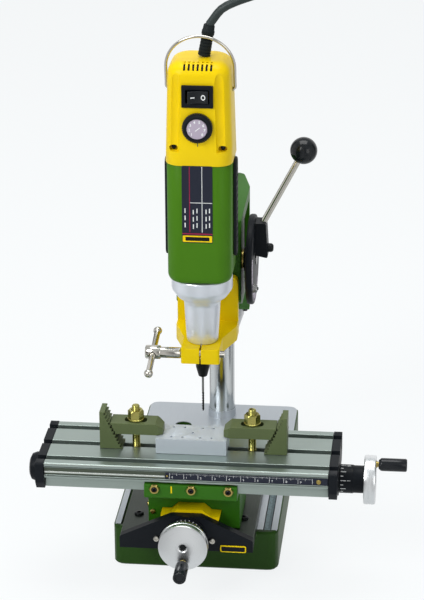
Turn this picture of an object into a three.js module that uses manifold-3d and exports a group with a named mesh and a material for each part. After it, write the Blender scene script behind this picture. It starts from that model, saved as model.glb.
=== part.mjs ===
// Benchtop milling machine: a drill and mill stand with a hand-held mains machine in its arm,
// a compound table in front, two step clamps and a drilled block on the table.
// Millimetres, +Z up, X to the right, Y away from the operator.
// The origin is the centre of the base's underside.
import * as THREE from 'three';
import { mergeVertices } from 'three/addons/utils/BufferGeometryUtils.js';
import Module from 'manifold-3d';

// ---------------------------------------------------------------- driving dimensions

const RUN = 0.3;            // clearance between pieces that slide or turn on each other
const SEAT = 0.2;           // clearance between pieces that are fastened to each other

const BASE = {
  width: 120, depth: 220, height: 31, corner: 7, edge: 1.5,
  wall: 6, roof: 9, rib: 4, ribPitchY: 38, ribX: 18,
  bossWall: 5, holeX: 28.5, holeY: 66.5, holeRadius: 6.5,
  channelX: 51.8, channelWidth: 5.8, channelDepth: 2.6, channelFront: -105.4, channelBack: 71,
  ringWall: 0.9, ringHeight: 6.5,
};
const RULER = { length: 175.6, thickness: 2.2, tableThickness: 1 };

const COLUMN = { radius: 10, length: 257, inset: 26, footY: 90, chamfer: 1.2 };
const COLLAR = { top: 128, height: 29, wall: 7.5, band: 10, lip: 1.2 };

const BED = { x: -3, width: 95, thickness: 8.8, front: -135.1, length: 140 };
const RAIL = {
  x: -0.6, neck: 16.5, head: 21.2, height: 14.8, hump: 9, humpFoot: 14.2, humpHeight: 4.8,
  slot: 12, bridge: 8, frontBridge: 13,
};
const FRONT_PLATE = { thickness: 6, side: 9, height: 26.5, flat: 21.5, boss: 14.5, bossThickness: 1.5 };

const SCREW = { radius: 3, wall: 3.7 };          // both leadscrews, and the depth of their nuts
const DIAL = { radius: 10.2, lengthX: 17, lengthY: 11, flangeY: 3.2, flangeThickness: 1.4 };
const WHEEL = { radius: 17.5, thickness: 8.4, edge: 1, recess: 5.5, recessDepth: 2 };
const GRIP = { radius: 4.65, length: 20.5, throw: 12.3, pin: 2, bore: 2.3, neck: 1.2, tip: 1.5 };

const CARRIAGE = { x: 1, width: 65.6, front: -124, web: 16.9, crease: 70, lip: 7.2, lipWall: 4.4 };
const TABLE = {
  x: -2.6, y: -110.5, length: 200, depth: 70, height: 20, slab: 11.7,
  neck: 29, foot: 30.8, slotPitch: 25.4, slotWidth: 6, slotDepth: 10,
  teeWidth: 12, teeHeight: 5, grooveWidth: 14.2, grooveHeight: 5.2,
  rulerLow: 3, rulerHeight: 5.1, rulerDepth: 1.1, capThickness: 6, capProud: 1.2, bearing: 9.5, coverRadius: 10.6, cover: 9.5,
};

const CLAMP = {
  studX: 41.4, studRadius: 2.8, studTop: 129, strapIn: 21.6, strapOut: 64, width: 15.5, thickness: 8.5,
  slotLength: 16, slotWidth: 8, nose: 5,
  blockOut: 66.5, blockHeight: 28, blockTop: 4, steps: 11, stepWidth: 1.1,
  nutFlats: 10, nutHeight: 6, washer: 6, washerHeight: 1.6,
};
const WORKPIECE = { x: -1, length: 50, depth: 25, height: 11.2, holeRadius: 1, holeDepth: 2.5, row: 8 };

const HOUSING = {
  width: 48, front: -7.5, back: 107, top: 231.5, wall: 3.5, frontWall: 5.5,
  toe: 161.5, heel: 150, heelY: 73, bossWall: 7, cavityBack: 68,
  slotWidth: 24.6, earWidth: 32.6, earDepth: 4.3,
};
const LUG = { width: 20, back: 117, low: 140, high: 166, slit: 1.5, screw: 2.5 };

const GEAR = { module: 1, teeth: 24, width: 10, y: 7, z: 196.5, pressure: 20, thinning: 0.11 };
const SHAFT = { radius: 4 };
const DISC = { radius: 33.5, thickness: 5, gap: 4.5 };
const HUB = { width: 14, thickness: 9.5, low: 200, high: 227, edge: 1.5 };
const LEVER = { x: 38.4, y: 7, z: 224, toX: 29.3, toY: 12, toZ: 54, radius: 2.4, sink: 4, ball: 10 };

const ARM = {
  spindleY: -50, front: -69, low: 143.5, thickness: 11.5, noseWidth: 28, shoulder: -46,
  width: 44.8, wallFront: -14, wallThickness: 6, wallTop: 190, wallChamfer: 6,
  tailTop: 226, tailWidth: 24, ear: 3.4, earReach: 4, slit: 1.2, screwY: -64.5, screwZ: 6.5,
};
const RACK = { thickness: 4.75, low: 158, top: 226 };
const CLAMP_SCREW = { thread: 2.5, reach: 17.5, shank: 4, shankLength: 14.6, head: 5, headLength: 11 };
const TOMMY = { radius: 2.2, length: 56, ball: 3.2, tilt: 10 };

const NECK = { radius: 10, shoulder: 11.3, waist: 13, waistZ: 184, flange: 22, flareZ: 197, top: 205.7 };
const BODY = { width: 46, corner: 11, toe: 6, top: 295, wall: 2.5 };
const CAP = {
  footWidth: 47.4, topWidth: 43.4, footDepth: 46.6, topDepth: 43, top: 368, shoulder: 9, wall: 2.6,
  vents: 7, ventWidth: 1.3, ventHeight: 4.7, ventPitch: 3.1, ventLow: 359.3,
};
const STRIP = { low: 222, width: 13, thickness: 2.2, gap: 0.25 };
const SWITCH = { z: 345.8, width: 22, height: 16, flange: 1.8, openWidth: 16.2, openHeight: 9.6, wall: 0.9, depth: 9 };
const ROCKER = { half: 7.2, tilt: 8, crown: 1.5, front: 4.9, back: 1.5, inset: 3.2 };
const KNOB = { z: 323.5, radius: 10.5, thickness: 4.6, shaft: 2 };
const BAIL = { z: 344.8, wire: 1.15, reach: 24, height: 40.2, square: 2.5, lean: 11, pin: 2.9 };
const RELIEF = { x: 2.3, radius: 4.4, tip: 3.9, length: 22, tilt: 10, rise: 1.1, ribs: 4, groove: 0.5 };

const MOTOR = { radius: 19.5, height: 58, bore: 4.6 };
const SPINDLE = { radius: 4, nose: 2.5, noseLength: 8, top: 268 };
const CHUCK = { radius: 5.1, tip: 3.2, height: 17, cone: 7 };
const BIT = { radius: 0.85, tip: 98, grip: 6 };

const CORD = { radius: 3, sides: 8, steps: 56 };
const COIL = { x: 264, y: 45, inner: 25.2, outer: 43, height: 11.4, edge: 2.5 };
const PLUG = { front: 35.3, rear: 20, length: 36, thickness: 13.7, boot: 20, bootRadius: 4.4, pin: 2, pinLength: 19, pinPitch: 19 };

// ---------------------------------------------------------------- worked-out places

const bedBottom = BASE.height + SEAT;
const bedTop = bedBottom + BED.thickness;
const wingTop = bedTop + SEAT + RAIL.height;
const railTop = wingTop + RAIL.humpHeight;
const screwYz = bedTop + SCREW.radius + 0.5;
const carriageRoof = railTop + RUN;
const trayFloor = carriageRoof + CARRIAGE.web;
const tableBottom = trayFloor + RUN;
const tableTop = tableBottom + TABLE.height;
const tableRight = TABLE.x + TABLE.length / 2;
const tableLeft = TABLE.x - TABLE.length / 2;
const plateBack = BED.front - SEAT;
const plateFront = plateBack - FRONT_PLATE.thickness;
const clampSeat = tableTop + SEAT + WORKPIECE.height + SEAT;
const collarBottom = COLLAR.top - COLLAR.height;
const headFloor = COLLAR.top + RUN;
const pitchRadius = GEAR.module * GEAR.teeth / 2;
const rackPitchY = GEAR.y - pitchRadius;
const armTop = ARM.low + ARM.thickness;
const wallBack = ARM.wallFront + ARM.wallThickness;
const discInner = HOUSING.width / 2 + DISC.gap;
const discOuter = discInner + DISC.thickness;
const bodyBottom = NECK.top + SEAT;
const capBottom = BODY.top + SEAT;
const chuckTop = ARM.low - RUN;

// ---------------------------------------------------------------- solid tools

const wasm = await Module();
wasm.setup();

/** Six times the signed volume of an indexed geometry: negative when its faces point in. */
function signedVolume(positions, index) {
  const a = new THREE.Vector3();
  const b = new THREE.Vector3();
  const c = new THREE.Vector3();
  let sum = 0;
  for (let i = 0; i < index.length; i += 3) {
    a.fromArray(positions, 3 * index[i]);
    b.fromArray(positions, 3 * index[i + 1]);
    c.fromArray(positions, 3 * index[i + 2]);
    sum += a.dot(b.cross(c));
  }
  return sum;
}

/** A closed three.js geometry as a solid that can be cut and joined. */
function solidOf(geometry) {
  geometry.deleteAttribute('normal');
  geometry.deleteAttribute('uv');
  const merged = mergeVertices(geometry, 1e-4);
  const vertProperties = new Float32Array(merged.attributes.position.array);
  const triVerts = new Uint32Array(merged.index.array);
  if (signedVolume(vertProperties, triVerts) < 0) triVerts.reverse();
  return new wasm.Manifold(new wasm.Mesh({ numProp: 3, vertProperties, triVerts }));
}

/** A solid's surface as a geometry that a mesh can hold. */
function surfaceOf(solid) {
  const mesh = solid.getMesh();
  const geometry = new THREE.BufferGeometry();
  geometry.setAttribute('position', new THREE.BufferAttribute(new Float32Array(mesh.vertProperties), 3));
  geometry.setIndex(new THREE.BufferAttribute(new Uint32Array(mesh.triVerts), 1));
  return geometry;
}

const join = (first, ...others) => others.reduce((sum, other) => sum.add(other), first);
const cut = (first, ...others) => others.reduce((left, other) => left.subtract(other), first);
const common = (first, ...others) => others.reduce((left, other) => left.intersect(other), first);

/** A rectangular block between two values on each axis. */
function block([x0, x1], [y0, y1], [z0, z1]) {
  const geometry = new THREE.BoxGeometry(x1 - x0, y1 - y0, z1 - z0);
  geometry.translate((x0 + x1) / 2, (y0 + y1) / 2, (z0 + z1) / 2);
  return solidOf(geometry);
}

/** Turns a geometry made along Z so that it runs along the named axis: the outline's own axes keep their order. */
function lay(geometry, axis) {
  if (axis === 'x') geometry.applyMatrix4(new THREE.Matrix4().set(0, 0, 1, 0, 1, 0, 0, 0, 0, 1, 0, 0, 0, 0, 0, 1));
  if (axis === 'y') geometry.applyMatrix4(new THREE.Matrix4().set(1, 0, 0, 0, 0, 0, 1, 0, 0, 1, 0, 0, 0, 0, 0, 1));
  return geometry;
}

/** A round bar along an axis, from one value to another, at the two other coordinates. */
function bar(axis, radius, [from, to], [u, v] = [0, 0], segments = 20) {
  const geometry = new THREE.CylinderGeometry(radius, radius, to - from, segments);
  geometry.rotateX(Math.PI / 2);
  geometry.translate(u, v, (from + to) / 2);
  return solidOf(lay(geometry, axis));
}

/** A turned piece: [radius, height] points from the axis back to the axis, or a closed ring. */
function turned(profile, segments = 24, axis = 'z', [u, v] = [0, 0]) {
  const points = profile.map(([radius, height]) => new THREE.Vector2(radius, height));
  const geometry = new THREE.LatheGeometry(points, segments);
  geometry.rotateX(Math.PI / 2);
  geometry.translate(u, v, 0);
  return solidOf(lay(geometry, axis));
}

/** A turned ring or sleeve, whose closed profile never reaches the axis. */
function sleeve(profile, segments = 24, axis = 'z', centre = [0, 0]) {
  return turned([...profile, profile[0]], segments, axis, centre);
}

/** An outline from [x, y, radius] corners, where the radius may be left out. */
function outline(corners) {
  const shape = new THREE.Shape();
  corners.forEach(([x, y, radius = 0], i) => {
    const [px, py] = corners[(i + corners.length - 1) % corners.length];
    const [nx, ny] = corners[(i + 1) % corners.length];
    const here = new THREE.Vector2(x, y);
    const back = new THREE.Vector2(px, py).sub(here).normalize();
    const ahead = new THREE.Vector2(nx, ny).sub(here).normalize();
    const reach = radius ? radius / Math.tan(Math.acos(back.dot(ahead)) / 2) : 0;
    const start = here.clone().addScaledVector(back, reach);
    const end = here.clone().addScaledVector(ahead, reach);
    if (i === 0) shape.moveTo(start.x, start.y);
    else shape.lineTo(start.x, start.y);
    if (radius) shape.quadraticCurveTo(x, y, end.x, end.y);
  });
  shape.closePath();
  return shape;
}

/** A rectangle's corners, all with one radius. */
function rectangle(width, height, radius = 0, [x, y] = [0, 0]) {
  const w = width / 2;
  const h = height / 2;
  return [[x - w, y - h, radius], [x + w, y - h, radius], [x + w, y + h, radius], [x - w, y + h, radius]];
}

/** A straight prism of an outline along an axis. */
function prism(corners, [from, to], axis = 'z', curveSegments = 4) {
  const geometry = new THREE.ExtrudeGeometry(outline(corners), {
    depth: to - from, bevelEnabled: false, curveSegments, steps: 1,
  });
  geometry.translate(0, 0, from);
  return solidOf(lay(geometry, axis));
}

/** A wire or cord of round section along a curve. */
function wire(curve, radius, sides, steps) {
  const section = new THREE.Shape();
  for (let i = 0; i < sides; i += 1) {
    const angle = 2 * Math.PI * i / sides;
    if (i === 0) section.moveTo(radius, 0);
    else section.lineTo(radius * Math.cos(angle), radius * Math.sin(angle));
  }
  section.closePath();
  return solidOf(new THREE.ExtrudeGeometry(section, { steps, extrudePath: curve, bevelEnabled: false }));
}

// ---------------------------------------------------------------- finishes and scene graph

const finish = (color, roughness, metalness) => new THREE.MeshStandardMaterial({ color, roughness, metalness });
const greenPaint = finish(0x4d8f1c, 0.45, 0.0);
const yellowPaint = finish(0xf0c80a, 0.45, 0.0);
const greenShell = finish(0x3f7f2a, 0.42, 0.0);
const yellowShell = finish(0xf2c60c, 0.4, 0.0);
const chrome = finish(0xd8dade, 0.12, 1.0);
const steel = finish(0xb4b6b8, 0.35, 1.0);
const zincYellow = finish(0xb59a4a, 0.35, 0.9);
const brass = finish(0xc8a64a, 0.35, 1.0);
const darkSteel = finish(0x3a3c3e, 0.5, 0.6);
const oliveSteel = finish(0x6b6b4c, 0.6, 0.3);
const blackPlastic = finish(0x15171a, 0.5, 0.0);
const blackRubber = finish(0x1a1c1e, 0.85, 0.0);
const aluminium = finish(0xb9bdc2, 0.38, 0.9);
const castAluminium = finish(0xc4c8cc, 0.4, 0.8);

const machine = new THREE.Group();

/** Adds one named piece to a group. */
function piece(parent, name, solid, material) {
  const mesh = new THREE.Mesh(surfaceOf(solid), material);
  mesh.name = name;
  parent.add(mesh);
  return mesh;
}

/** A group placed, and turned, inside another. */
function groupAt(parent, [x, y, z], turn = new THREE.Quaternion()) {
  const group = new THREE.Group();
  group.position.set(x, y, z);
  group.quaternion.copy(turn);
  parent.add(group);
  return group;
}

const turnAbout = (x, y, z, degrees) => new THREE.Quaternion().setFromAxisAngle(
  new THREE.Vector3(x, y, z), THREE.MathUtils.degToRad(degrees),
);

// ---------------------------------------------------------------- stand

/** The cast base: ribbed underneath, with a bored boss for the column and a channel along each side. */
function baseCasting() {
  const halfWidth = BASE.width / 2;
  const halfDepth = BASE.depth / 2;
  const footprint = new THREE.ExtrudeGeometry(
    outline(rectangle(BASE.width - 2 * BASE.edge, BASE.depth - 2 * BASE.edge, BASE.corner)),
    {
      depth: BASE.height - 2 * BASE.edge, bevelThickness: BASE.edge, bevelSize: BASE.edge,
      bevelSegments: 1, curveSegments: 4,
    },
  );
  footprint.translate(0, 0, BASE.edge);
  let casting = solidOf(footprint);
  const innerX = halfWidth - BASE.wall;
  const innerY = halfDepth - BASE.wall;
  const ceiling = BASE.height - BASE.roof;
  const ribsX = [-innerX - BASE.rib / 2, -BASE.ribX, BASE.ribX, innerX + BASE.rib / 2];
  const ribCount = Math.floor(innerY / BASE.ribPitchY);
  const ribsY = [-innerY - BASE.rib / 2];
  for (let i = -ribCount; i <= ribCount; i += 1) ribsY.push(i * BASE.ribPitchY);
  ribsY.push(innerY + BASE.rib / 2);
  for (let i = 0; i + 1 < ribsX.length; i += 1) {
    for (let j = 0; j + 1 < ribsY.length; j += 1) {
      const x = [ribsX[i] + BASE.rib / 2, ribsX[i + 1] - BASE.rib / 2];
      const y = [ribsY[j] + BASE.rib / 2, ribsY[j + 1] - BASE.rib / 2];
      if (y[1] - y[0] > BASE.rib) casting = cut(casting, block(x, y, [-1, ceiling]));
    }
  }
  const column = [0, COLUMN.footY];
  casting = join(
    casting,
    bar('z', COLUMN.radius + BASE.bossWall, [0, BASE.height - 1], column, 28),
    bar('z', COLUMN.radius + BASE.ringWall, [BASE.height - 1, BASE.height + BASE.ringHeight], column, 32),
  );
  const channelFloor = BASE.height - BASE.channelDepth;
  for (const side of [-1, 1]) {
    const x = side * BASE.channelX;
    const wide = BASE.channelWidth / 2;
    casting = cut(
      casting,
      block([x - wide, x + wide], [BASE.channelFront, BASE.channelBack], [channelFloor, BASE.height + 1]),
      bar('z', BASE.holeRadius, [-1, BASE.height + 1], [side * BASE.holeX, BASE.holeY], 24),
    );
  }
  return cut(casting, bar('z', COLUMN.radius + SEAT, [-1, BASE.height + BASE.ringHeight + 1], column, 32));
}

/** The rail's section, or the channel for it when grown by a clearance: X and Z corners. */
function railSection(bottom, grow) {
  return [
    [RAIL.x - RAIL.neck - grow, bottom], [RAIL.x + RAIL.neck + grow, bottom],
    [RAIL.x + RAIL.head + grow, wingTop + grow], [RAIL.x + RAIL.humpFoot + grow, wingTop + grow],
    [RAIL.x + RAIL.hump + grow, railTop + grow], [RAIL.x - RAIL.hump - grow, railTop + grow],
    [RAIL.x - RAIL.humpFoot - grow, wingTop + grow], [RAIL.x - RAIL.head - grow, wingTop + grow],
  ];
}

function buildStand() {
  piece(machine, 'base', baseCasting(), greenPaint);

  const footZ = BASE.height - COLUMN.inset;
  const column = turned([
    [0, footZ], [COLUMN.radius - COLUMN.chamfer, footZ], [COLUMN.radius, footZ + COLUMN.chamfer],
    [COLUMN.radius, footZ + COLUMN.inset + COLUMN.length - COLUMN.chamfer],
    [COLUMN.radius - COLUMN.chamfer, footZ + COLUMN.inset + COLUMN.length],
    [0, footZ + COLUMN.inset + COLUMN.length],
  ], 32, 'z', [0, COLUMN.footY]);
  piece(machine, 'column', column, chrome);

  const stripFloor = BASE.height - BASE.channelDepth + SEAT;
  const stripHalf = BASE.channelWidth / 2 - SEAT;
  const stripBack = BASE.channelBack - 2 * SEAT;
  piece(machine, 'base_ruler', block(
    [BASE.channelX - stripHalf, BASE.channelX + stripHalf],
    [stripBack - RULER.length, stripBack],
    [stripFloor, stripFloor + RULER.thickness],
  ), blackPlastic);

  piece(machine, 'bed_plate', block(
    [BED.x - BED.width / 2, BED.x + BED.width / 2],
    [BED.front, BED.front + BED.length],
    [bedBottom, bedTop],
  ), darkSteel);

  const railBottom = bedTop + SEAT;
  const rail = prism(railSection(railBottom, 0), [BED.front, BED.front + BED.length], 'y');
  const screwSlot = block(
    [BED.x - RAIL.slot / 2, BED.x + RAIL.slot / 2],
    [BED.front + RAIL.frontBridge, BED.front + BED.length - RAIL.bridge],
    [railBottom - 1, railTop + 1],
  );
  const screwHole = bar('y', SCREW.radius + RUN, [BED.front - 1, BED.front + RAIL.frontBridge + 1],
    [BED.x, screwYz]);
  piece(machine, 'y_rail', cut(rail, screwSlot, screwHole), yellowPaint);

  const half = BED.width / 2;
  const plate = prism([
    [BED.x - half, bedBottom], [BED.x + half, bedBottom], [BED.x + half, bedBottom + FRONT_PLATE.side, 2],
    [BED.x + FRONT_PLATE.flat / 2, bedBottom + FRONT_PLATE.height, 2],
    [BED.x - FRONT_PLATE.flat / 2, bedBottom + FRONT_PLATE.height, 2],
    [BED.x - half, bedBottom + FRONT_PLATE.side, 2],
  ], [plateFront, plateBack], 'y');
  const boss = bar('y', FRONT_PLATE.boss, [plateFront - FRONT_PLATE.bossThickness, plateFront + 1],
    [BED.x, screwYz], 28);
  const bore = bar('y', SCREW.radius + RUN, [plateFront - 3, plateBack + 1], [BED.x, screwYz]);
  const bossFloor = block([BED.x - half, BED.x + half], [plateFront - 3, plateFront], [0, bedBottom]);
  piece(machine, 'front_plate', cut(join(plate, cut(boss, bossFloor)), bore), blackPlastic);
}

// ---------------------------------------------------------------- leadscrews and handwheels

/**
 * A leadscrew with its dial, handwheel and turning grip, laid along X or Y.
 * `outward` is +1 or -1: the way from the bearing to the wheel.
 */
function buildDrive(prefix, axis, outward, [u, v], bearing, farEnd, dialLength, flange, gripAngle) {
  const span = (near, far) => (outward > 0 ? [bearing + near, bearing + far] : [bearing - far, bearing - near]);
  const dialNear = RUN;
  const wheelNear = dialNear + dialLength + SEAT;
  const wheelFar = wheelNear + WHEEL.thickness;
  const tip = bearing + outward * (wheelFar - WHEEL.recessDepth - 0.5);
  const screw = bar(axis, SCREW.radius, [Math.min(tip, farEnd), Math.max(tip, farEnd)], [u, v], 16);
  piece(machine, `${prefix}_leadscrew`, screw, steel);

  const [dialLow, dialHigh] = span(dialNear, dialNear + dialLength);
  const bore = SCREW.radius + SEAT;
  const step = dialLength * 0.42;
  const shoulder = outward > 0 ? dialHigh - step : dialLow + step;
  const thin = DIAL.radius - 0.4;
  const [lowRadius, highRadius] = outward > 0 ? [DIAL.radius, thin] : [thin, DIAL.radius];
  const drum = sleeve([
    [bore, dialLow], [lowRadius, dialLow], [lowRadius, shoulder],
    [highRadius, shoulder], [highRadius, dialHigh], [bore, dialHigh],
  ], 24, axis, [u, v]);
  const flangeSpan = span(dialNear, dialNear + DIAL.flangeThickness);
  const disc = flange > 0 ? cut(
    bar(axis, DIAL.radius + flange, flangeSpan, [u, v], 28),
    bar(axis, bore, [flangeSpan[0] - 1, flangeSpan[1] + 1], [u, v], 24),
  ) : null;
  piece(machine, `${prefix}_dial`, disc ? join(drum, disc) : drum, blackPlastic);

  const [wheelLow, wheelHigh] = span(wheelNear, wheelFar);
  const edge = WHEEL.edge;
  const rim = sleeve([
    [bore, wheelLow], [WHEEL.radius - edge, wheelLow], [WHEEL.radius, wheelLow + edge],
    [WHEEL.radius, wheelHigh - edge], [WHEEL.radius - edge, wheelHigh], [bore, wheelHigh],
  ], 28, axis, [u, v]);
  const recess = bar(axis, WHEEL.recess, span(wheelFar - WHEEL.recessDepth, wheelFar + 1), [u, v], 20);
  const gripU = u + GRIP.throw * Math.cos(gripAngle);
  const gripV = v + GRIP.throw * Math.sin(gripAngle);
  const pinFar = wheelFar + GRIP.neck + GRIP.length - GRIP.tip;
  const pin = bar(axis, GRIP.pin, span(wheelFar - 1, pinFar - RUN), [gripU, gripV], 12);
  piece(machine, `${prefix}_handwheel`, join(cut(rim, recess), pin), aluminium);

  const gripNear = wheelFar + GRIP.neck;
  const gripFar = gripNear + GRIP.length;
  const at = (distance) => bearing + outward * distance;
  const slim = GRIP.radius - GRIP.tip;
  piece(machine, `${prefix}_grip`, turned([
    [0, at(pinFar)], [GRIP.bore, at(pinFar)], [GRIP.bore, at(gripNear)], [slim, at(gripNear)],
    [GRIP.radius, at(gripNear + GRIP.tip)], [GRIP.radius, at(gripFar - 0.6)],
    [GRIP.radius - 0.6, at(gripFar)], [0, at(gripFar)],
  ], 16, axis, [gripU, gripV]), blackPlastic);
}

// ---------------------------------------------------------------- carriage and table

/** The dovetail under the table, or the channel for it when grown by a clearance: Y and Z corners. */
function tableDovetail(grow) {
  const low = tableBottom - grow;
  const high = tableBottom + TABLE.height - TABLE.slab + 1;
  return [
    [TABLE.y - TABLE.foot - grow, low], [TABLE.y + TABLE.foot + grow, low],
    [TABLE.y + TABLE.neck + grow, high], [TABLE.y - TABLE.neck - grow, high],
  ];
}

function buildCarriage() {
  const left = CARRIAGE.x - CARRIAGE.width / 2;
  const right = CARRIAGE.x + CARRIAGE.width / 2;
  const lipReach = TABLE.foot + RUN + CARRIAGE.lipWall;
  const front = TABLE.y - lipReach;
  const back = TABLE.y + lipReach;
  const bottom = bedTop + SEAT + RUN;
  const lipTop = trayFloor + CARRIAGE.lip;
  const side = prism([
    [CARRIAGE.front, bottom, 1.5], [back, bottom, 1.5], [back, lipTop, 1.5], [front, lipTop, 1.5],
    [front, CARRIAGE.crease + 3.5, 2], [CARRIAGE.front, CARRIAGE.crease, 3],
  ], [left, right], 'x');
  const tray = prism(tableDovetail(RUN), [left - 1, right + 1], 'x');
  const railChannel = prism(railSection(bottom - 1, RUN), [front - 1, back + 1], 'y');
  const nutHalf = TABLE.grooveWidth / 2;
  const screwGroove = block(
    [left - 1, right + 1], [TABLE.y - nutHalf, TABLE.y + nutHalf],
    [tableBottom - TABLE.grooveHeight, tableBottom + 1],
  );
  piece(machine, 'carriage', cut(side, tray, railChannel, screwGroove), greenPaint);

  const screwBore = SCREW.radius + RUN;
  const yNut = block(
    [BED.x - RAIL.slot / 2 + RUN, BED.x + RAIL.slot / 2 - RUN],
    [CARRIAGE.front + 18, CARRIAGE.front + 30],
    [screwYz - 2, carriageRoof - SEAT],
  );
  piece(machine, 'y_nut', cut(yNut, bar('y', screwBore, [-200, 0], [BED.x, screwYz])), brass);

  const xNut = block(
    [CARRIAGE.x - 8, CARRIAGE.x + 8],
    [TABLE.y - nutHalf + RUN, TABLE.y + nutHalf - RUN],
    [tableBottom - TABLE.grooveHeight + SEAT, tableBottom + SCREW.radius + 1.6],
  );
  piece(machine, 'x_nut', cut(xNut, bar('x', screwBore, [-200, 200], [TABLE.y, tableBottom])), brass);
}

/** The table's section: a slab with three tee slots over a dovetail foot with a groove for the screw. */
function tableExtrusion() {
  const slabLow = tableTop - TABLE.slab;
  const half = TABLE.depth / 2;
  const ends = [tableLeft, tableRight];
  const beyond = [tableLeft - 1, tableRight + 1];
  let section = join(
    prism(rectangle(TABLE.depth, TABLE.slab, 0.8, [TABLE.y, slabLow + TABLE.slab / 2]), ends, 'x', 2),
    prism(tableDovetail(0), ends, 'x'),
  );
  for (const i of [-1, 0, 1]) {
    const y = TABLE.y + i * TABLE.slotPitch;
    const teeLow = tableTop - TABLE.slotDepth;
    section = cut(
      section,
      block(beyond, [y - TABLE.slotWidth / 2, y + TABLE.slotWidth / 2], [teeLow + 1, tableTop + 1]),
      block(beyond, [y - TABLE.teeWidth / 2, y + TABLE.teeWidth / 2], [teeLow, teeLow + TABLE.teeHeight]),
    );
  }
  const rulerLow = slabLow + TABLE.rulerLow;
  const frontFace = TABLE.y - half;
  return cut(
    section,
    block(beyond, [TABLE.y - TABLE.grooveWidth / 2, TABLE.y + TABLE.grooveWidth / 2],
      [tableBottom - 1, tableBottom + TABLE.grooveHeight]),
    block(beyond, [frontFace - 1, frontFace + TABLE.rulerDepth],
      [rulerLow - SEAT, rulerLow + TABLE.rulerHeight + SEAT]),
  );
}

/** A moulded end cap that follows the table's section, with a bearing for the screw in the middle. */
function tableCap(from, to) {
  const half = TABLE.depth / 2 + TABLE.capProud;
  const slabLow = tableTop - TABLE.slab;
  const low = tableBottom - TABLE.capProud;
  let cap = prism([
    [TABLE.y - half, slabLow - 3, 1.5], [TABLE.y - TABLE.foot - 1, low, 1.5],
    [TABLE.y - 15, low], [TABLE.y - 9, tableBottom - TABLE.bearing, 3],
    [TABLE.y + 9, tableBottom - TABLE.bearing, 3], [TABLE.y + 15, low],
    [TABLE.y + TABLE.foot + 1, low, 1.5], [TABLE.y + half, slabLow - 3, 1.5],
    [TABLE.y + half, tableTop, 1.5], [TABLE.y - half, tableTop, 1.5],
  ], [from, to], 'x', 3);
  const beyond = [from - 1, to + 1];
  for (const i of [-1, 0, 1]) {
    const y = TABLE.y + i * TABLE.slotPitch;
    const wide = TABLE.slotWidth / 2;
    cap = cut(cap, block(beyond, [y - wide, y + wide], [tableTop - TABLE.slotDepth, tableTop + 1]));
  }
  return cut(cap, bar('x', SCREW.radius + RUN, beyond, [TABLE.y, tableBottom]));
}

function buildTable() {
  piece(machine, 'table', tableExtrusion(), aluminium);
  const leftCap = [tableLeft - SEAT - TABLE.capThickness, tableLeft - SEAT];
  const rightCap = [tableRight + SEAT, tableRight + SEAT + TABLE.capThickness];
  const coverEnd = leftCap[0] - TABLE.cover;
  const cover = turned([
    [0, coverEnd], [TABLE.coverRadius - 4, coverEnd], [TABLE.coverRadius - 1.2, coverEnd + 1.4],
    [TABLE.coverRadius, coverEnd + 4.5], [TABLE.coverRadius, leftCap[0] + 1], [0, leftCap[0] + 1],
  ], 28, 'x', [TABLE.y, tableBottom]);
  const screwEnd = bar('x', SCREW.radius + RUN, [leftCap[0] - 1, leftCap[0] + 2], [TABLE.y, tableBottom]);
  piece(machine, 'table_cap_left', cut(join(tableCap(...leftCap), cover), screwEnd), blackPlastic);
  piece(machine, 'table_cap_right', tableCap(...rightCap), blackPlastic);

  const rulerLow = tableTop - TABLE.slab + TABLE.rulerLow;
  const rulerBack = TABLE.y - TABLE.depth / 2 + TABLE.rulerDepth - SEAT;
  piece(machine, 'table_ruler', block(
    [tableRight - 114, tableRight - SEAT],
    [rulerBack - RULER.tableThickness, rulerBack],
    [rulerLow, rulerLow + TABLE.rulerHeight],
  ), blackPlastic);
}

// ---------------------------------------------------------------- step clamps and work

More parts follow.
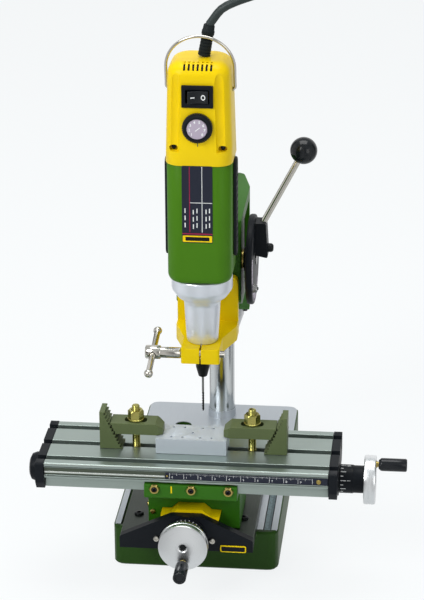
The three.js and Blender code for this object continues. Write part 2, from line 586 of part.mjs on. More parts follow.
/** One step clamp: strap, step block, tee bolt and nut. `side` is -1 on the left, +1 on the right. */
function buildClamp(name, side) {
  const y = TABLE.y;
  const half = CLAMP.width / 2;
  const blockFloor = tableTop + SEAT;
  const rise = (CLAMP.blockHeight - 1) / CLAMP.steps;
  const strapTop = clampSeat + CLAMP.thickness;
  const blockCorners = (grow) => {
    const corners = [
      [side * (CLAMP.blockOut + grow), blockFloor],
      [side * (CLAMP.blockOut + grow), blockFloor + CLAMP.blockHeight + grow],
    ];
    for (let i = 0; i < CLAMP.steps; i += 1) {
      const x = side * (CLAMP.blockOut - CLAMP.blockTop - i * CLAMP.stepWidth - grow);
      const top = blockFloor + CLAMP.blockHeight - i * rise;
      corners.push([x, top + grow], [x, top - rise + grow]);
    }
    const toe = side * (CLAMP.blockOut - CLAMP.blockTop - CLAMP.steps * CLAMP.stepWidth - grow);
    corners.push([toe, blockFloor + 1 + grow], [toe, blockFloor]);
    return side > 0 ? corners : corners.reverse();
  };
  piece(machine, `${name}_step_block`, prism(blockCorners(0), [y - half, y + half], 'y'), oliveSteel);

  const noseX = side * CLAMP.strapIn;
  const outX = side * CLAMP.strapOut;
  const strap = prism([
    [noseX, clampSeat], [outX, clampSeat], [outX, strapTop], [side * (CLAMP.strapIn + CLAMP.nose), strapTop],
    [noseX, strapTop - 3.5],
  ], [y - half, y + half], 'y');
  const slotMid = side * CLAMP.studX;
  const slotHalf = CLAMP.slotLength / 2;
  const slot = prism(
    rectangle(CLAMP.slotLength, CLAMP.slotWidth, CLAMP.slotWidth / 2 - 0.1, [slotMid, y]),
    [clampSeat - 1, strapTop + 1],
  );
  const notch = prism(blockCorners(RUN), [y - half - 1, y + half + 1], 'y');
  const bevels = [-1, 1].map((edge) => prism([
    [noseX - side, y + edge * (half + 1)], [noseX - side, y + edge * (half - 3)],
    [side * (CLAMP.strapIn + CLAMP.nose), y + edge * (half + 1)],
  ], [clampSeat - 1, strapTop + 1]));
  piece(machine, `${name}_strap`, cut(strap, slot, notch, ...bevels), oliveSteel);

  const teeLow = tableTop - TABLE.slotDepth + RUN;
  const teeTop = tableTop - TABLE.slotDepth + TABLE.teeHeight - RUN;
  const teeHalf = TABLE.teeWidth / 2 - RUN;
  const stud = bar('z', CLAMP.studRadius, [teeLow + 1, CLAMP.studTop], [slotMid, y], 16);
  const tee = block([slotMid - slotHalf + 2, slotMid + slotHalf - 2], [y - teeHalf, y + teeHalf], [teeLow, teeTop]);
  piece(machine, `${name}_tee_bolt`, join(stud, tee), zincYellow);

  const nutLow = strapTop + SEAT;
  const washer = bar('z', CLAMP.washer, [nutLow, nutLow + CLAMP.washerHeight], [slotMid, y], 20);
  const corner = CLAMP.nutFlats / Math.sqrt(3);
  const hexagon = [];
  for (let i = 0; i < 6; i += 1) {
    const angle = Math.PI * i / 3;
    hexagon.push([slotMid + corner * Math.cos(angle), y + corner * Math.sin(angle)]);
  }
  const nutTop = nutLow + CLAMP.washerHeight + CLAMP.nutHeight;
  const hex = prism(hexagon, [nutLow + CLAMP.washerHeight - 0.5, nutTop]);
  const bore = bar('z', CLAMP.studRadius + SEAT, [nutLow - 1, nutTop + 1], [slotMid, y], 16);
  piece(machine, `${name}_nut`, cut(join(washer, hex), bore), zincYellow);
}

function buildWork() {
  const floor = tableTop + SEAT;
  const top = floor + WORKPIECE.height;
  let work = block(
    [WORKPIECE.x - WORKPIECE.length / 2, WORKPIECE.x + WORKPIECE.length / 2],
    [TABLE.y - WORKPIECE.depth / 2, TABLE.y + WORKPIECE.depth / 2],
    [floor, top],
  );
  const marks = [[0, 0]];
  for (const dx of [-14.2, -6.4, 6.4, 14.2]) {
    for (const dy of [-WORKPIECE.row, WORKPIECE.row]) marks.push([dx, dy]);
  }
  for (const [dx, dy] of marks) {
    const at = [WORKPIECE.x + dx, TABLE.y + dy];
    work = cut(work, bar('z', WORKPIECE.holeRadius, [top - WORKPIECE.holeDepth, top + 1], at, 8));
  }
  piece(machine, 'workpiece', work, aluminium);
}

// ---------------------------------------------------------------- head on the column

function buildCollar() {
  const bore = COLUMN.radius + RUN;
  const outer = COLUMN.radius + COLLAR.wall;
  piece(machine, 'height_collar', sleeve([
    [bore, collarBottom], [COLUMN.radius + COLLAR.lip, collarBottom], [outer, COLLAR.top - COLLAR.band],
    [outer, COLLAR.top - 1], [outer - 1, COLLAR.top], [bore, COLLAR.top],
  ], 28, 'z', [0, COLUMN.footY]), castAluminium);
}

/** The head casting: a hollow box on the column, slotted in front for the slide and open on the right. */
function headHousing() {
  const half = HOUSING.width / 2;
  const shoulder = COLUMN.radius + HOUSING.bossWall;
  const side = prism([
    [HOUSING.front, HOUSING.toe + 6, 4], [HOUSING.front + 12, HOUSING.toe, 6], [36, HOUSING.toe + 1, 10],
    [HOUSING.heelY - 18, HOUSING.heel, 8], [HOUSING.heelY, headFloor, 4],
    [HOUSING.back, headFloor], [HOUSING.back, HOUSING.top, 10], [HOUSING.front, HOUSING.top, 1.5],
  ], [-half, half], 'x');
  const plan = prism([
    [-half, HOUSING.front, 1.5], [half, HOUSING.front, 1.5], [half, HOUSING.heelY - 4, 10],
    [shoulder, HOUSING.back - 8, 12], [6, HOUSING.back, 5], [-6, HOUSING.back, 5],
    [-shoulder, HOUSING.back - 8, 12], [-half, HOUSING.heelY - 4, 10],
  ], [0, 300]);
  const lug = block([-LUG.width / 2, LUG.width / 2], [HOUSING.back - 8, LUG.back], [LUG.low, LUG.high]);
  const body = join(common(side, plan), lug);

  const inner = half - HOUSING.wall;
  const insideFront = HOUSING.front + HOUSING.frontWall;
  const ceiling = HOUSING.top - HOUSING.wall;
  const bearing = SHAFT.radius + RUN;
  const lugMid = (HOUSING.back + LUG.back) / 2 + 1;
  return cut(
    body,
    block([-inner, inner], [insideFront, HOUSING.cavityBack], [HOUSING.toe + 6, ceiling]),
    block([inner - 1, half + 1], [GEAR.y + 14, HOUSING.cavityBack - 4], [HOUSING.toe + 11, ceiling - 5]),
    block([-HOUSING.slotWidth / 2, HOUSING.slotWidth / 2],
      [HOUSING.front - 1, insideFront + 0.1], [HOUSING.toe - 20, ceiling]),
    block([-HOUSING.earWidth / 2, HOUSING.earWidth / 2],
      [insideFront, insideFront + HOUSING.earDepth], [HOUSING.toe - 20, ceiling]),
    bar('x', bearing, [-half - 1, half + 1], [GEAR.y, GEAR.z]),
    bar('z', COLUMN.radius + RUN, [0, 300], [0, COLUMN.footY], 32),
    block([-LUG.slit / 2, LUG.slit / 2], [COLUMN.footY, LUG.back + 1], [0, 300]),
    bar('x', LUG.screw + SEAT, [-40, 40], [lugMid, (LUG.low + LUG.high) / 2], 16),
  );
}

function buildHead() {
  piece(machine, 'head_housing', headHousing(), greenPaint);
  const lugMid = (HOUSING.back + LUG.back) / 2 + 1;
  const at = [lugMid, (LUG.low + LUG.high) / 2];
  const lugHalf = LUG.width / 2;
  const screw = join(
    bar('x', LUG.screw, [-lugHalf - 3, lugHalf + 2], at, 16),
    bar('x', LUG.screw + 2, [lugHalf + SEAT, lugHalf + 6], at, 16),
    bar('x', LUG.screw + 1.5, [-lugHalf - 4, -lugHalf - SEAT], at, 6),
  );
  piece(machine, 'head_clamp_screw', screw, blackPlastic);
}

/** Involute half angle of a tooth at a radius. */
function toothHalfAngle(radius) {
  const pressure = THREE.MathUtils.degToRad(GEAR.pressure);
  const base = pitchRadius * Math.cos(pressure);
  const involute = (angle) => Math.tan(angle) - angle;
  const halfAtPitch = (Math.PI * GEAR.module / 4 - GEAR.thinning) / pitchRadius;
  const here = radius > base ? Math.acos(base / radius) : 0;
  return halfAtPitch + involute(pressure) - involute(here);
}

/** The pinion with its shaft, a tooth space facing the rack. */
function pinionShaft() {
  const root = pitchRadius - 1.25 * GEAR.module;
  const tip = pitchRadius + GEAR.module;
  const corners = [];
  for (let i = 0; i < GEAR.teeth; i += 1) {
    const middle = Math.PI + 2 * Math.PI * (i + 0.5) / GEAR.teeth;
    const flank = [root, pitchRadius, tip];
    for (const r of flank) corners.push([r, middle - toothHalfAngle(r)]);
    for (const r of flank.reverse()) corners.push([r, middle + toothHalfAngle(r)]);
  }
  const teeth = corners.map(([r, a]) => [GEAR.y + r * Math.cos(a), GEAR.z + r * Math.sin(a)]);
  const gear = prism(teeth, [-GEAR.width / 2, GEAR.width / 2], 'x');
  return join(gear, bar('x', SHAFT.radius, [-HOUSING.width / 2, discOuter + 1], [GEAR.y, GEAR.z], 20));
}

function buildLever() {
  piece(machine, 'pinion_shaft', pinionShaft(), steel);
  const bore = SHAFT.radius + SEAT;
  const at = [GEAR.y, GEAR.z];
  piece(machine, 'lever_disc', sleeve([
    [bore, discInner - 3], [9, discInner - 3], [9, discInner], [DISC.radius - 0.8, discInner],
    [DISC.radius, discInner + 0.8], [DISC.radius, discOuter - 0.8], [DISC.radius - 0.8, discOuter],
    [bore, discOuter],
  ], 36, 'x', at), blackPlastic);

  const lean = new THREE.Vector3(LEVER.toX, LEVER.toY, LEVER.toZ);
  const reach = lean.length();
  const turn = new THREE.Quaternion().setFromUnitVectors(new THREE.Vector3(0, 0, 1), lean.normalize());
  const seat = groupAt(machine, [LEVER.x, LEVER.y, LEVER.z], turn);

  const hubIn = discOuter + SEAT;
  const hub = prism([
    [hubIn, HUB.low + 2, HUB.edge], [hubIn + HUB.thickness, HUB.low, HUB.edge],
    [hubIn + HUB.thickness - 1.6, HUB.high, HUB.edge], [hubIn, HUB.high],
  ], [LEVER.y - HUB.width / 2, LEVER.y + HUB.width / 2], 'y');
  const rodHole = new THREE.CylinderGeometry(LEVER.radius + RUN, LEVER.radius + RUN, 40, 16);
  rodHole.rotateX(Math.PI / 2);
  rodHole.translate(0, 0, 20 - LEVER.sink - RUN);
  rodHole.applyQuaternion(turn);
  rodHole.translate(LEVER.x, LEVER.y, LEVER.z);
  piece(machine, 'lever_hub', cut(hub, solidOf(rodHole)), blackPlastic);

  piece(seat, 'lever_rod', bar('z', LEVER.radius, [-LEVER.sink, reach - 4], [0, 0], 14), chrome);
  const ball = new THREE.SphereGeometry(LEVER.ball, 16, 10);
  ball.rotateX(Math.PI / 2);
  ball.translate(0, 0, reach);
  const ballBore = bar('z', LEVER.radius + RUN, [reach - LEVER.ball - 1, reach - 4 + RUN], [0, 0], 14);
  piece(seat, 'lever_ball', cut(solidOf(ball), ballBore), blackPlastic);
}

// ---------------------------------------------------------------- feed slide

/** The yellow arm: split clamp in front, upright behind it, and a tee-shaped slide inside the head. */
function feedArm() {
  const nose = ARM.noseWidth / 2;
  const half = ARM.width / 2;
  const plate = prism([
    [-nose, ARM.front, 2], [nose, ARM.front, 2], [nose, ARM.shoulder, 8], [half, ARM.wallFront - 9, 6],
    [half, wallBack], [-half, wallBack], [-half, ARM.wallFront - 9, 6], [-nose, ARM.shoulder, 8],
  ], [ARM.low, armTop]);
  const upright = prism([
    [-half, ARM.low], [half, ARM.low], [half, ARM.wallTop, ARM.wallChamfer],
    [-half, ARM.wallTop, ARM.wallChamfer],
  ], [ARM.wallFront, wallBack], 'y');
  const insideFront = HOUSING.front + HOUSING.frontWall;
  const tail = ARM.tailWidth / 2;
  const earHalf = HOUSING.earWidth / 2 - RUN;
  const spine = block([-tail, tail], [ARM.wallFront, insideFront + 1], [ARM.low + 12, ARM.tailTop]);
  const ears = block([-earHalf, earHalf], [insideFront + RUN, insideFront + RUN + ARM.ear],
    [ARM.low + 12, ARM.tailTop]);
  const rackHalf = GEAR.width / 2 + RUN;
  const rackBack = rackPitchY - 1.25 * GEAR.module - RACK.thickness;
  const neckBore = bar('z', NECK.radius + SEAT, [ARM.low - 1, armTop + 1], [0, ARM.spindleY], 32);
  return cut(
    join(plate, upright, spine, ears),
    block([-rackHalf, rackHalf], [rackBack - SEAT, insideFront + ARM.ear + 2], [RACK.low - SEAT, ARM.tailTop + 1]),
    neckBore,
    block([-ARM.slit / 2, ARM.slit / 2], [ARM.front - 1, ARM.spindleY], [ARM.low - 1, armTop + 1]),
    bar('x', CLAMP_SCREW.thread + RUN, [-nose - 1, nose + 1], [ARM.screwY, ARM.low + ARM.screwZ], 16),
  );
}

/** The rack on the back of the slide, in mesh with the pinion at rest. */
function feedRack() {
  const pitch = Math.PI * GEAR.module;
  const rootY = rackPitchY - 1.25 * GEAR.module;
  const tipY = rackPitchY + GEAR.module;
  const slope = Math.tan(THREE.MathUtils.degToRad(GEAR.pressure));
  const halfAtPitch = pitch / 4 - GEAR.thinning;
  const halfRoot = halfAtPitch + slope * 1.25 * GEAR.module;
  const halfTip = halfAtPitch - slope * GEAR.module;
  const corners = [[rootY - RACK.thickness, RACK.low], [rootY, RACK.low]];
  const first = Math.ceil((RACK.low - GEAR.z) / pitch + 0.5);
  const last = Math.floor((RACK.top - GEAR.z) / pitch - 0.5);
  for (let i = first; i <= last; i += 1) {
    const z = GEAR.z + i * pitch;
    corners.push([rootY, z - halfRoot], [tipY, z - halfTip], [tipY, z + halfTip], [rootY, z + halfRoot]);
  }
  corners.push([rootY, RACK.top], [rootY - RACK.thickness, RACK.top]);
  return prism(corners, [-GEAR.width / 2, GEAR.width / 2], 'x');
}

function buildFeedSlide() {
  piece(machine, 'feed_arm', feedArm(), yellowPaint);
  piece(machine, 'feed_rack', feedRack(), steel);

  const nose = ARM.noseWidth / 2;
  const shankIn = -nose - RUN;
  const shankOut = shankIn - CLAMP_SCREW.shankLength;
  const headOut = shankOut - CLAMP_SCREW.headLength;
  const headMid = (shankOut + headOut) / 2;
  const screwSeat = groupAt(machine, [0, ARM.screwY, ARM.low + ARM.screwZ]);
  const across = groupAt(screwSeat, [headMid, 0, 0], turnAbout(1, 0, 0, TOMMY.tilt));
  const hole = new THREE.CylinderGeometry(TOMMY.radius + RUN, TOMMY.radius + RUN, 20, 14);
  hole.rotateX(THREE.MathUtils.degToRad(TOMMY.tilt));
  hole.translate(headMid, 0, 0);
  const screw = join(
    bar('x', CLAMP_SCREW.thread, [shankIn - 1, CLAMP_SCREW.reach], [0, 0], 16),
    bar('x', CLAMP_SCREW.shank, [shankOut - 1, shankIn], [0, 0], 20),
    bar('x', CLAMP_SCREW.head, [headOut, shankOut], [0, 0], 20),
  );
  piece(screwSeat, 'clamp_screw', cut(screw, solidOf(hole)), steel);

  const ends = TOMMY.length / 2;
  const tommy = join(
    bar('y', TOMMY.radius, [-ends, ends], [0, 0], 12),
    ...[-1, 1].map((end) => {
      const ball = new THREE.SphereGeometry(TOMMY.ball, 10, 6);
      ball.translate(0, end * ends, 0);
      return solidOf(ball);
    }),
  );
  piece(across, 'tommy_bar', tommy, steel);
}

// ---------------------------------------------------------------- hand-held machine

const spindle = groupAt(machine, [0, ARM.spindleY, 0]);

/** A squared tower whose front and side outlines narrow upward: width and depth pairs at foot and top. */
function tower([footWidth, topWidth], [footDepth, topDepth], [low, high], toe, shoulder, corner) {
  const profile = (foot, top) => [
    [-foot / 2, low, toe], [foot / 2, low, toe], [top / 2, high, shoulder], [-top / 2, high, shoulder],
  ];
  const plan = prism(rectangle(footWidth, footDepth, corner), [low - 1, high + 1], 'z', 5);
  const long = [-60, 60];
  return common(
    plan,
    prism(profile(footWidth, topWidth), long, 'y', 5),
    prism(profile(footDepth, topDepth), long, 'x', 5),
  );
}

function buildBody() {
  const bore = SPINDLE.radius + RUN;
  piece(spindle, 'gear_head', sleeve([
    [bore, ARM.low], [NECK.radius, ARM.low], [NECK.radius, armTop + RUN], [NECK.shoulder, armTop + RUN],
    [NECK.waist, NECK.waistZ], [15.2, 188.5], [18.6, 192], [NECK.flange, NECK.flareZ],
    [NECK.flange, NECK.top], [bore, NECK.top],
  ], 28), castAluminium);

  const shell = tower([BODY.width, BODY.width], [BODY.width, BODY.width], [bodyBottom, BODY.top], BODY.toe, 0, BODY.corner);
  const inside = BODY.width - 2 * BODY.wall;
  const cavity = prism(rectangle(inside, inside, BODY.corner - BODY.wall), [bodyBottom + BODY.wall, BODY.top + 1]);
  piece(spindle, 'motor_body', cut(shell, cavity, bar('z', bore, [200, bodyBottom + 5])), greenShell);

  const motorLow = bodyBottom + BODY.wall + SEAT;
  piece(spindle, 'motor', sleeve([
    [MOTOR.bore, motorLow], [MOTOR.radius, motorLow], [MOTOR.radius, motorLow + MOTOR.height],
    [MOTOR.bore, motorLow + MOTOR.height],
  ], 28), darkSteel);

  const noseLow = chuckTop - SPINDLE.noseLength;
  piece(spindle, 'motor_shaft', turned([
    [0, noseLow], [SPINDLE.nose, noseLow], [SPINDLE.nose, chuckTop + 1], [SPINDLE.radius, chuckTop + 1],
    [SPINDLE.radius, SPINDLE.top], [0, SPINDLE.top],
  ], 20), steel);

  for (const [name, side] of [['strip_left', -1], ['strip_right', 1]]) {
    const inner = BODY.width / 2 + STRIP.gap;
    const outer = inner + STRIP.thickness;
    const span = side > 0 ? [inner, outer] : [-outer, -inner];
    const middle = (STRIP.low + BODY.top) / 2;
    const strip = prism(rectangle(STRIP.width, BODY.top - STRIP.low, 5, [0, middle]), span, 'x', 5);
    piece(spindle, name, strip, blackRubber);
  }
}

/** Half of the cap's width or depth at a height. */
function capHalf(foot, top, z) {
  return THREE.MathUtils.lerp(foot, top, (z - capBottom) / (CAP.top - capBottom)) / 2;
}

function buildCap() {
  const span = [capBottom, CAP.top];
  const grown = tower([CAP.footWidth, CAP.topWidth], [CAP.footDepth, CAP.topDepth], span, 0, CAP.shoulder, BODY.corner);
  const thick = 2 * CAP.wall;
  const hollow = tower(
    [CAP.footWidth - thick, CAP.topWidth - thick], [CAP.footDepth - thick, CAP.topDepth - thick],
    [capBottom - 1, CAP.top - CAP.wall], 0, CAP.shoulder - CAP.wall, BODY.corner - CAP.wall,
  );
  const openX = SWITCH.openWidth / 2 + SWITCH.wall + SEAT;
  const openZ = SWITCH.openHeight / 2 + SWITCH.wall + SEAT;
  const front = [-40, -12];
  let cap = cut(
    grown, hollow,
    block([-openX, openX], front, [SWITCH.z - openZ, SWITCH.z + openZ]),
    bar('y', KNOB.shaft + RUN, front, [0, KNOB.z], 16),
    bar('z', CORD.radius + RUN, [CAP.top - 6, CAP.top + 1], [RELIEF.x, 0], 20),
    bar('x', BAIL.wire + RUN, [-40, 40], [0, BAIL.z], 12),
  );
  for (let i = 0; i < CAP.vents; i += 1) {
    const x = (i - (CAP.vents - 1) / 2) * CAP.ventPitch;
    const wide = CAP.ventWidth / 2;
    const high = CAP.ventLow + CAP.ventHeight;
    cap = cut(cap, block([x - wide, x + wide], front, [CAP.ventLow, high]));
  }
  piece(spindle, 'body_cap', cap, yellowShell);

  const faceY = -capHalf(CAP.footDepth, CAP.topDepth, SWITCH.z - SWITCH.height / 2) - SEAT;
  const flange = block([-SWITCH.width / 2, SWITCH.width / 2], [faceY - SWITCH.flange, faceY],
    [SWITCH.z - SWITCH.height / 2, SWITCH.z + SWITCH.height / 2]);
  const sleeveX = SWITCH.openWidth / 2 + SWITCH.wall;
  const sleeveZ = SWITCH.openHeight / 2 + SWITCH.wall;
  const body = block([-sleeveX, sleeveX], [faceY - 0.5, faceY + SWITCH.depth], [SWITCH.z - sleeveZ, SWITCH.z + sleeveZ]);
  const open = block([-SWITCH.openWidth / 2, SWITCH.openWidth / 2], [faceY - 5, faceY + SWITCH.depth + 1],
    [SWITCH.z - SWITCH.openHeight / 2, SWITCH.z + SWITCH.openHeight / 2]);
  piece(spindle, 'switch_frame', cut(join(flange, body), open), blackPlastic);

  const pivot = groupAt(spindle, [0, faceY - SWITCH.flange + ROCKER.inset, SWITCH.z], turnAbout(0, 0, 1, ROCKER.tilt));
  const rockerHalf = SWITCH.openHeight / 2 - RUN;
  piece(pivot, 'switch_rocker', prism([
    [-ROCKER.half, -ROCKER.front], [0, -ROCKER.front + ROCKER.crown], [ROCKER.half, -ROCKER.front],
    [ROCKER.half, ROCKER.back], [0, ROCKER.back + 2], [-ROCKER.half, ROCKER.back],
  ], [-rockerHalf, rockerHalf]), blackPlastic);

  const knobBack = -capHalf(CAP.footDepth, CAP.topDepth, KNOB.z - KNOB.radius) - RUN;
  const knobFront = knobBack - KNOB.thickness;
  piece(spindle, 'speed_knob', turned([
    [0, knobFront], [KNOB.radius - 1.4, knobFront], [KNOB.radius, knobFront + 1.4], [KNOB.radius, knobBack],
    [KNOB.shaft, knobBack], [KNOB.shaft, knobBack + 8], [0, knobBack + 8],
  ], 24, 'y', [0, KNOB.z]), blackPlastic);
}

/** The hanging bail: two legs and a slightly squared arch of wire, with a pin at each foot. */
function buildBail() {
  const hinge = groupAt(spindle, [0, 0, BAIL.z], turnAbout(1, 0, 0, BAIL.lean));
  const leg = BAIL.height - BAIL.reach;
  const points = [];
  for (const t of [0, 0.35, 0.7]) points.push(new THREE.Vector3(-BAIL.reach, 0, t * leg));
  for (let i = 0; i <= 12; i += 1) {
    const angle = Math.PI * (1 - i / 12);
    const [across, up] = [Math.cos(angle), Math.sin(angle)]
      .map((part) => Math.sign(part) * Math.abs(part) ** (2 / BAIL.square) * BAIL.reach);
    points.push(new THREE.Vector3(across, 0, leg + up));
  }
  for (const t of [0.7, 0.35, 0]) points.push(new THREE.Vector3(BAIL.reach, 0, t * leg));
  const arch = wire(new THREE.CatmullRomCurve3(points), BAIL.wire, 6, 28);
  const pins = [-1, 1].map((side) => {
    const ends = [side * (BAIL.reach - BAIL.pin), side * (BAIL.reach + BAIL.wire * 0.6)];
    return bar('x', BAIL.wire, [Math.min(...ends), Math.max(...ends)], [0, 0], 8);
  });
  piece(hinge, 'bail', join(arch, ...pins), chrome);
}

function buildSpindle() {
  const tipZ = chuckTop - CHUCK.height;
  const socket = SPINDLE.nose + SEAT;
  const socketLow = chuckTop - SPINDLE.noseLength - SEAT;
  const hole = BIT.radius + SEAT;
  piece(spindle, 'chuck', sleeve([
    [hole, tipZ], [CHUCK.tip, tipZ], [CHUCK.radius, tipZ + CHUCK.cone], [CHUCK.radius, chuckTop],
    [socket, chuckTop], [socket, socketLow], [hole, socketLow],
  ], 20), darkSteel);
  piece(spindle, 'drill_bit', turned([
    [0, BIT.tip], [BIT.radius, BIT.tip + 0.8], [BIT.radius, tipZ + BIT.grip], [0, tipZ + BIT.grip],
  ], 10), steel);
}

// ---------------------------------------------------------------- cord

// The cord's route after the strain relief: up and over, out to the right, then down to the floor.
const route = [
  [14.6, -49.8, 401.6], [22.5, -49, 406.0], [33, -47.5, 409.8], [47, -45.5, 414.0], [64, -43, 418.6],
  [84, -40, 423.0], [105, -37, 426.2], [127, -33.5, 426.6], [148, -30, 423.4], [167, -26.5, 416.0],
  [184, -23, 403.0], [198.5, -20, 384.0], [209, -17.5, 359.0], [216, -15.5, 328.0], [220.5, -14, 292.0],
  [223.5, -12.5, 252.0], [225.4, -11, 210.0], [226.4, -9.4, 168.0], [226.9, -7.8, 128.0], [227, -6.3, 94.0],
  [227, -5.3, 66.0], [227, -3.3, 45.1], [227, 1.7, 33.0], [227, 9.6, 22.6], [227, 16.3, 17.0],
  [227, 23.1, 13.1],
];

function buildCord() {
  const relief = groupAt(machine, [RELIEF.x, ARM.spindleY, CAP.top], turnAbout(0, 1, 0, RELIEF.tilt));
  const profile = [[0, RELIEF.rise]];
  const bottom = RELIEF.rise;
  const rib = RELIEF.length / (RELIEF.ribs * 2 + 1);
  for (let i = 0; i <= RELIEF.ribs; i += 1) {
    const low = bottom + 2 * i * rib;
    const radius = THREE.MathUtils.lerp(RELIEF.radius, RELIEF.tip, i / RELIEF.ribs);
    profile.push([radius, low], [radius, low + rib]);
    if (i < RELIEF.ribs) profile.push([radius - RELIEF.groove, low + rib], [radius - RELIEF.groove, low + 2 * rib]);
  }
  profile.push([0, bottom + RELIEF.length]);
  piece(relief, 'strain_relief', turned(profile, 12), blackRubber);

  relief.updateWorldMatrix(true, false);
  const exit = [1, 6].map((ahead) => {
    const gap = ahead === 1 ? 0.3 : ahead;
    return new THREE.Vector3(0, 0, bottom + RELIEF.length + gap).applyMatrix4(relief.matrixWorld);
  });
  const points = [...exit, ...route.map(([x, y, z]) => new THREE.Vector3(x, y, z))];
  const curve = new THREE.CatmullRomCurve3(points, false, 'centripetal');
  piece(machine, 'cord', wire(curve, CORD.radius, CORD.sides, CORD.steps), blackRubber);

  const coil = COIL;
  piece(machine, 'cord_coil', sleeve([
    [coil.inner, 0.1], [coil.outer, 0.1], [coil.outer, coil.height - coil.edge],
    [coil.outer - coil.edge, coil.height], [coil.inner + coil.edge, coil.height],
    [coil.inner, coil.height - coil.edge],
  ], 28, 'z', [coil.x, coil.y]), blackRubber);
}

/** The flat two-pin plug, lying beside the coil with its pins toward the operator. */
function buildPlug() {
  const outerTurn = COIL.outer - CORD.radius;
  const seat = groupAt(machine, [COIL.x + outerTurn, COIL.y - 25, PLUG.thickness / 2 + 0.1]);
  const front = -PLUG.boot - PLUG.length;
  const body = prism([
    [-PLUG.front / 2, front], [PLUG.front / 2, front, 2], [PLUG.front / 2, front + 10, 4],
    [PLUG.rear / 2, -PLUG.boot, 4], [-PLUG.rear / 2, -PLUG.boot, 4], [-PLUG.front / 2, front + 10, 4],
  ], [-PLUG.thickness / 2, PLUG.thickness / 2]);
  const boot = bar('y', PLUG.bootRadius, [-PLUG.boot - 1, 0], [0, 0], 14);
  const pins = [-1, 1].map((side) => bar(
    'y', PLUG.pin, [front - PLUG.pinLength, front + 1], [side * PLUG.pinPitch / 2, 0], 12,
  ));
  piece(seat, 'cord_plug', join(body, boot, ...pins), blackPlastic);
}

// ---------------------------------------------------------------- assembly

buildStand();
buildDrive('y', 'y', -1, [BED.x, screwYz], plateFront - FRONT_PLATE.bossThickness, BED.front + 95,
  DIAL.lengthY, DIAL.flangeY, -Math.PI / 2);
buildCarriage();
buildTable();
buildDrive('x', 'x', 1, [TABLE.y, tableBottom], tableRight + SEAT + TABLE.capThickness,
  tableLeft - SEAT - TABLE.capThickness, DIAL.lengthX, 0, Math.PI / 2);
buildClamp('left', -1);
buildClamp('right', 1);
buildWork();
buildCollar();
buildHead();
buildLever();
buildFeedSlide();
buildBody();
buildCap();
buildBail();
buildSpindle();
buildCord();
buildPlug();

export default machine;
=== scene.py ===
"""Looks of a benchtop milling machine: its finishes, its fine detail, a camera and a plain studio.

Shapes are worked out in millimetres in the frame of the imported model: X to the operator's right,
Y away from the operator, Z up, with the origin under the middle of the base.
"""

from __future__ import annotations

import logging
import math
from dataclasses import dataclass, field
from enum import Enum
from typing import Any, Iterable, Sequence

import bmesh
import bpy
from mathutils import Matrix, Vector

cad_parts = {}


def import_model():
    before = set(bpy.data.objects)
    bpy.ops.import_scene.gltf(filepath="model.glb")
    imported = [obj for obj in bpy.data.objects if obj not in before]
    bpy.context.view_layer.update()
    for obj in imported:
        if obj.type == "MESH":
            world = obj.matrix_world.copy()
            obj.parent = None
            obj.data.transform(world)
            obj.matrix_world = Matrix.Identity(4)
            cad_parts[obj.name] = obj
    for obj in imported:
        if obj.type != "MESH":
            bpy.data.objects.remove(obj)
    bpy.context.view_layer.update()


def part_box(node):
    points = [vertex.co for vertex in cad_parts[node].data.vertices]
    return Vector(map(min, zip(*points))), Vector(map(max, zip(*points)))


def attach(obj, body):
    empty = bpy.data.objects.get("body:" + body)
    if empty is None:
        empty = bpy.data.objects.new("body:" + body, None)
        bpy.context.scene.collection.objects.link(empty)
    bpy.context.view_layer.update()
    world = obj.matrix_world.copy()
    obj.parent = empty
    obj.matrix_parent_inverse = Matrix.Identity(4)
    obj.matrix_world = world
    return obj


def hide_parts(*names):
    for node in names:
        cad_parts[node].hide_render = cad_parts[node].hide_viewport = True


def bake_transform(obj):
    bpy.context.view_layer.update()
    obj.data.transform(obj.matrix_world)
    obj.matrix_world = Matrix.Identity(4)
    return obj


log = logging.getLogger("mill")

MM = 0.001
SIDES = (("left", -1), ("right", 1))
Colour = tuple[float, float, float]
Pair = tuple[float, float]
Point = Sequence[float]


class Axis(Enum):
    """The axis that a turned or drawn shape runs along."""

    X = 0
    Y = 1
    Z = 2

    def place(self, along: float, u: float, v: float) -> Vector:
        """The point at a distance along this axis and at the two other coordinates, in their order."""
        parts = [u, v]
        parts.insert(self.value, along)
        return Vector(parts)


# ---------------------------------------------------------------- shader values


class Value:
    """A node's output. Arithmetic on it adds Math nodes."""

    def __init__(self, graph: Graph, socket: bpy.types.NodeSocket) -> None:
        """Keeps the socket and the graph that it belongs to."""
        self.graph = graph
        self.socket = socket

    def _math(self, operation: str, left: Any, right: Any = None) -> Value:
        """A Math node on one or two values."""
        sockets = {0: left} if right is None else {0: left, 1: right}
        return self.graph.node("ShaderNodeMath", {"operation": operation}, sockets)

    def __add__(self, other: Any) -> Value:
        """Sum."""
        return self._math("ADD", self, other)

    def __sub__(self, other: Any) -> Value:
        """Difference."""
        return self._math("SUBTRACT", self, other)

    def __rsub__(self, other: Any) -> Value:
        """Difference from a number."""
        return self._math("SUBTRACT", other, self)

    def __mul__(self, other: Any) -> Value:
        """Product."""
        return self._math("MULTIPLY", self, other)

    def __truediv__(self, other: Any) -> Value:
        """Quotient."""
        return self._math("DIVIDE", self, other)

    def __gt__(self, other: Any) -> Value:
        """One where this is the larger, and nothing elsewhere."""
        return self._math("GREATER_THAN", self, other)

    def __lt__(self, other: Any) -> Value:
        """One where this is the smaller, and nothing elsewhere."""
        return self._math("LESS_THAN", self, other)

    def __abs__(self) -> Value:
        """Size without sign."""
        return self._math("ABSOLUTE", self)

    __radd__ = __add__
    __rmul__ = __mul__

    def root(self) -> Value:
        """Square root."""
        return self._math("SQRT", self)

    def larger(self, other: Any) -> Value:
        """The larger of two."""
        return self._math("MAXIMUM", self, other)


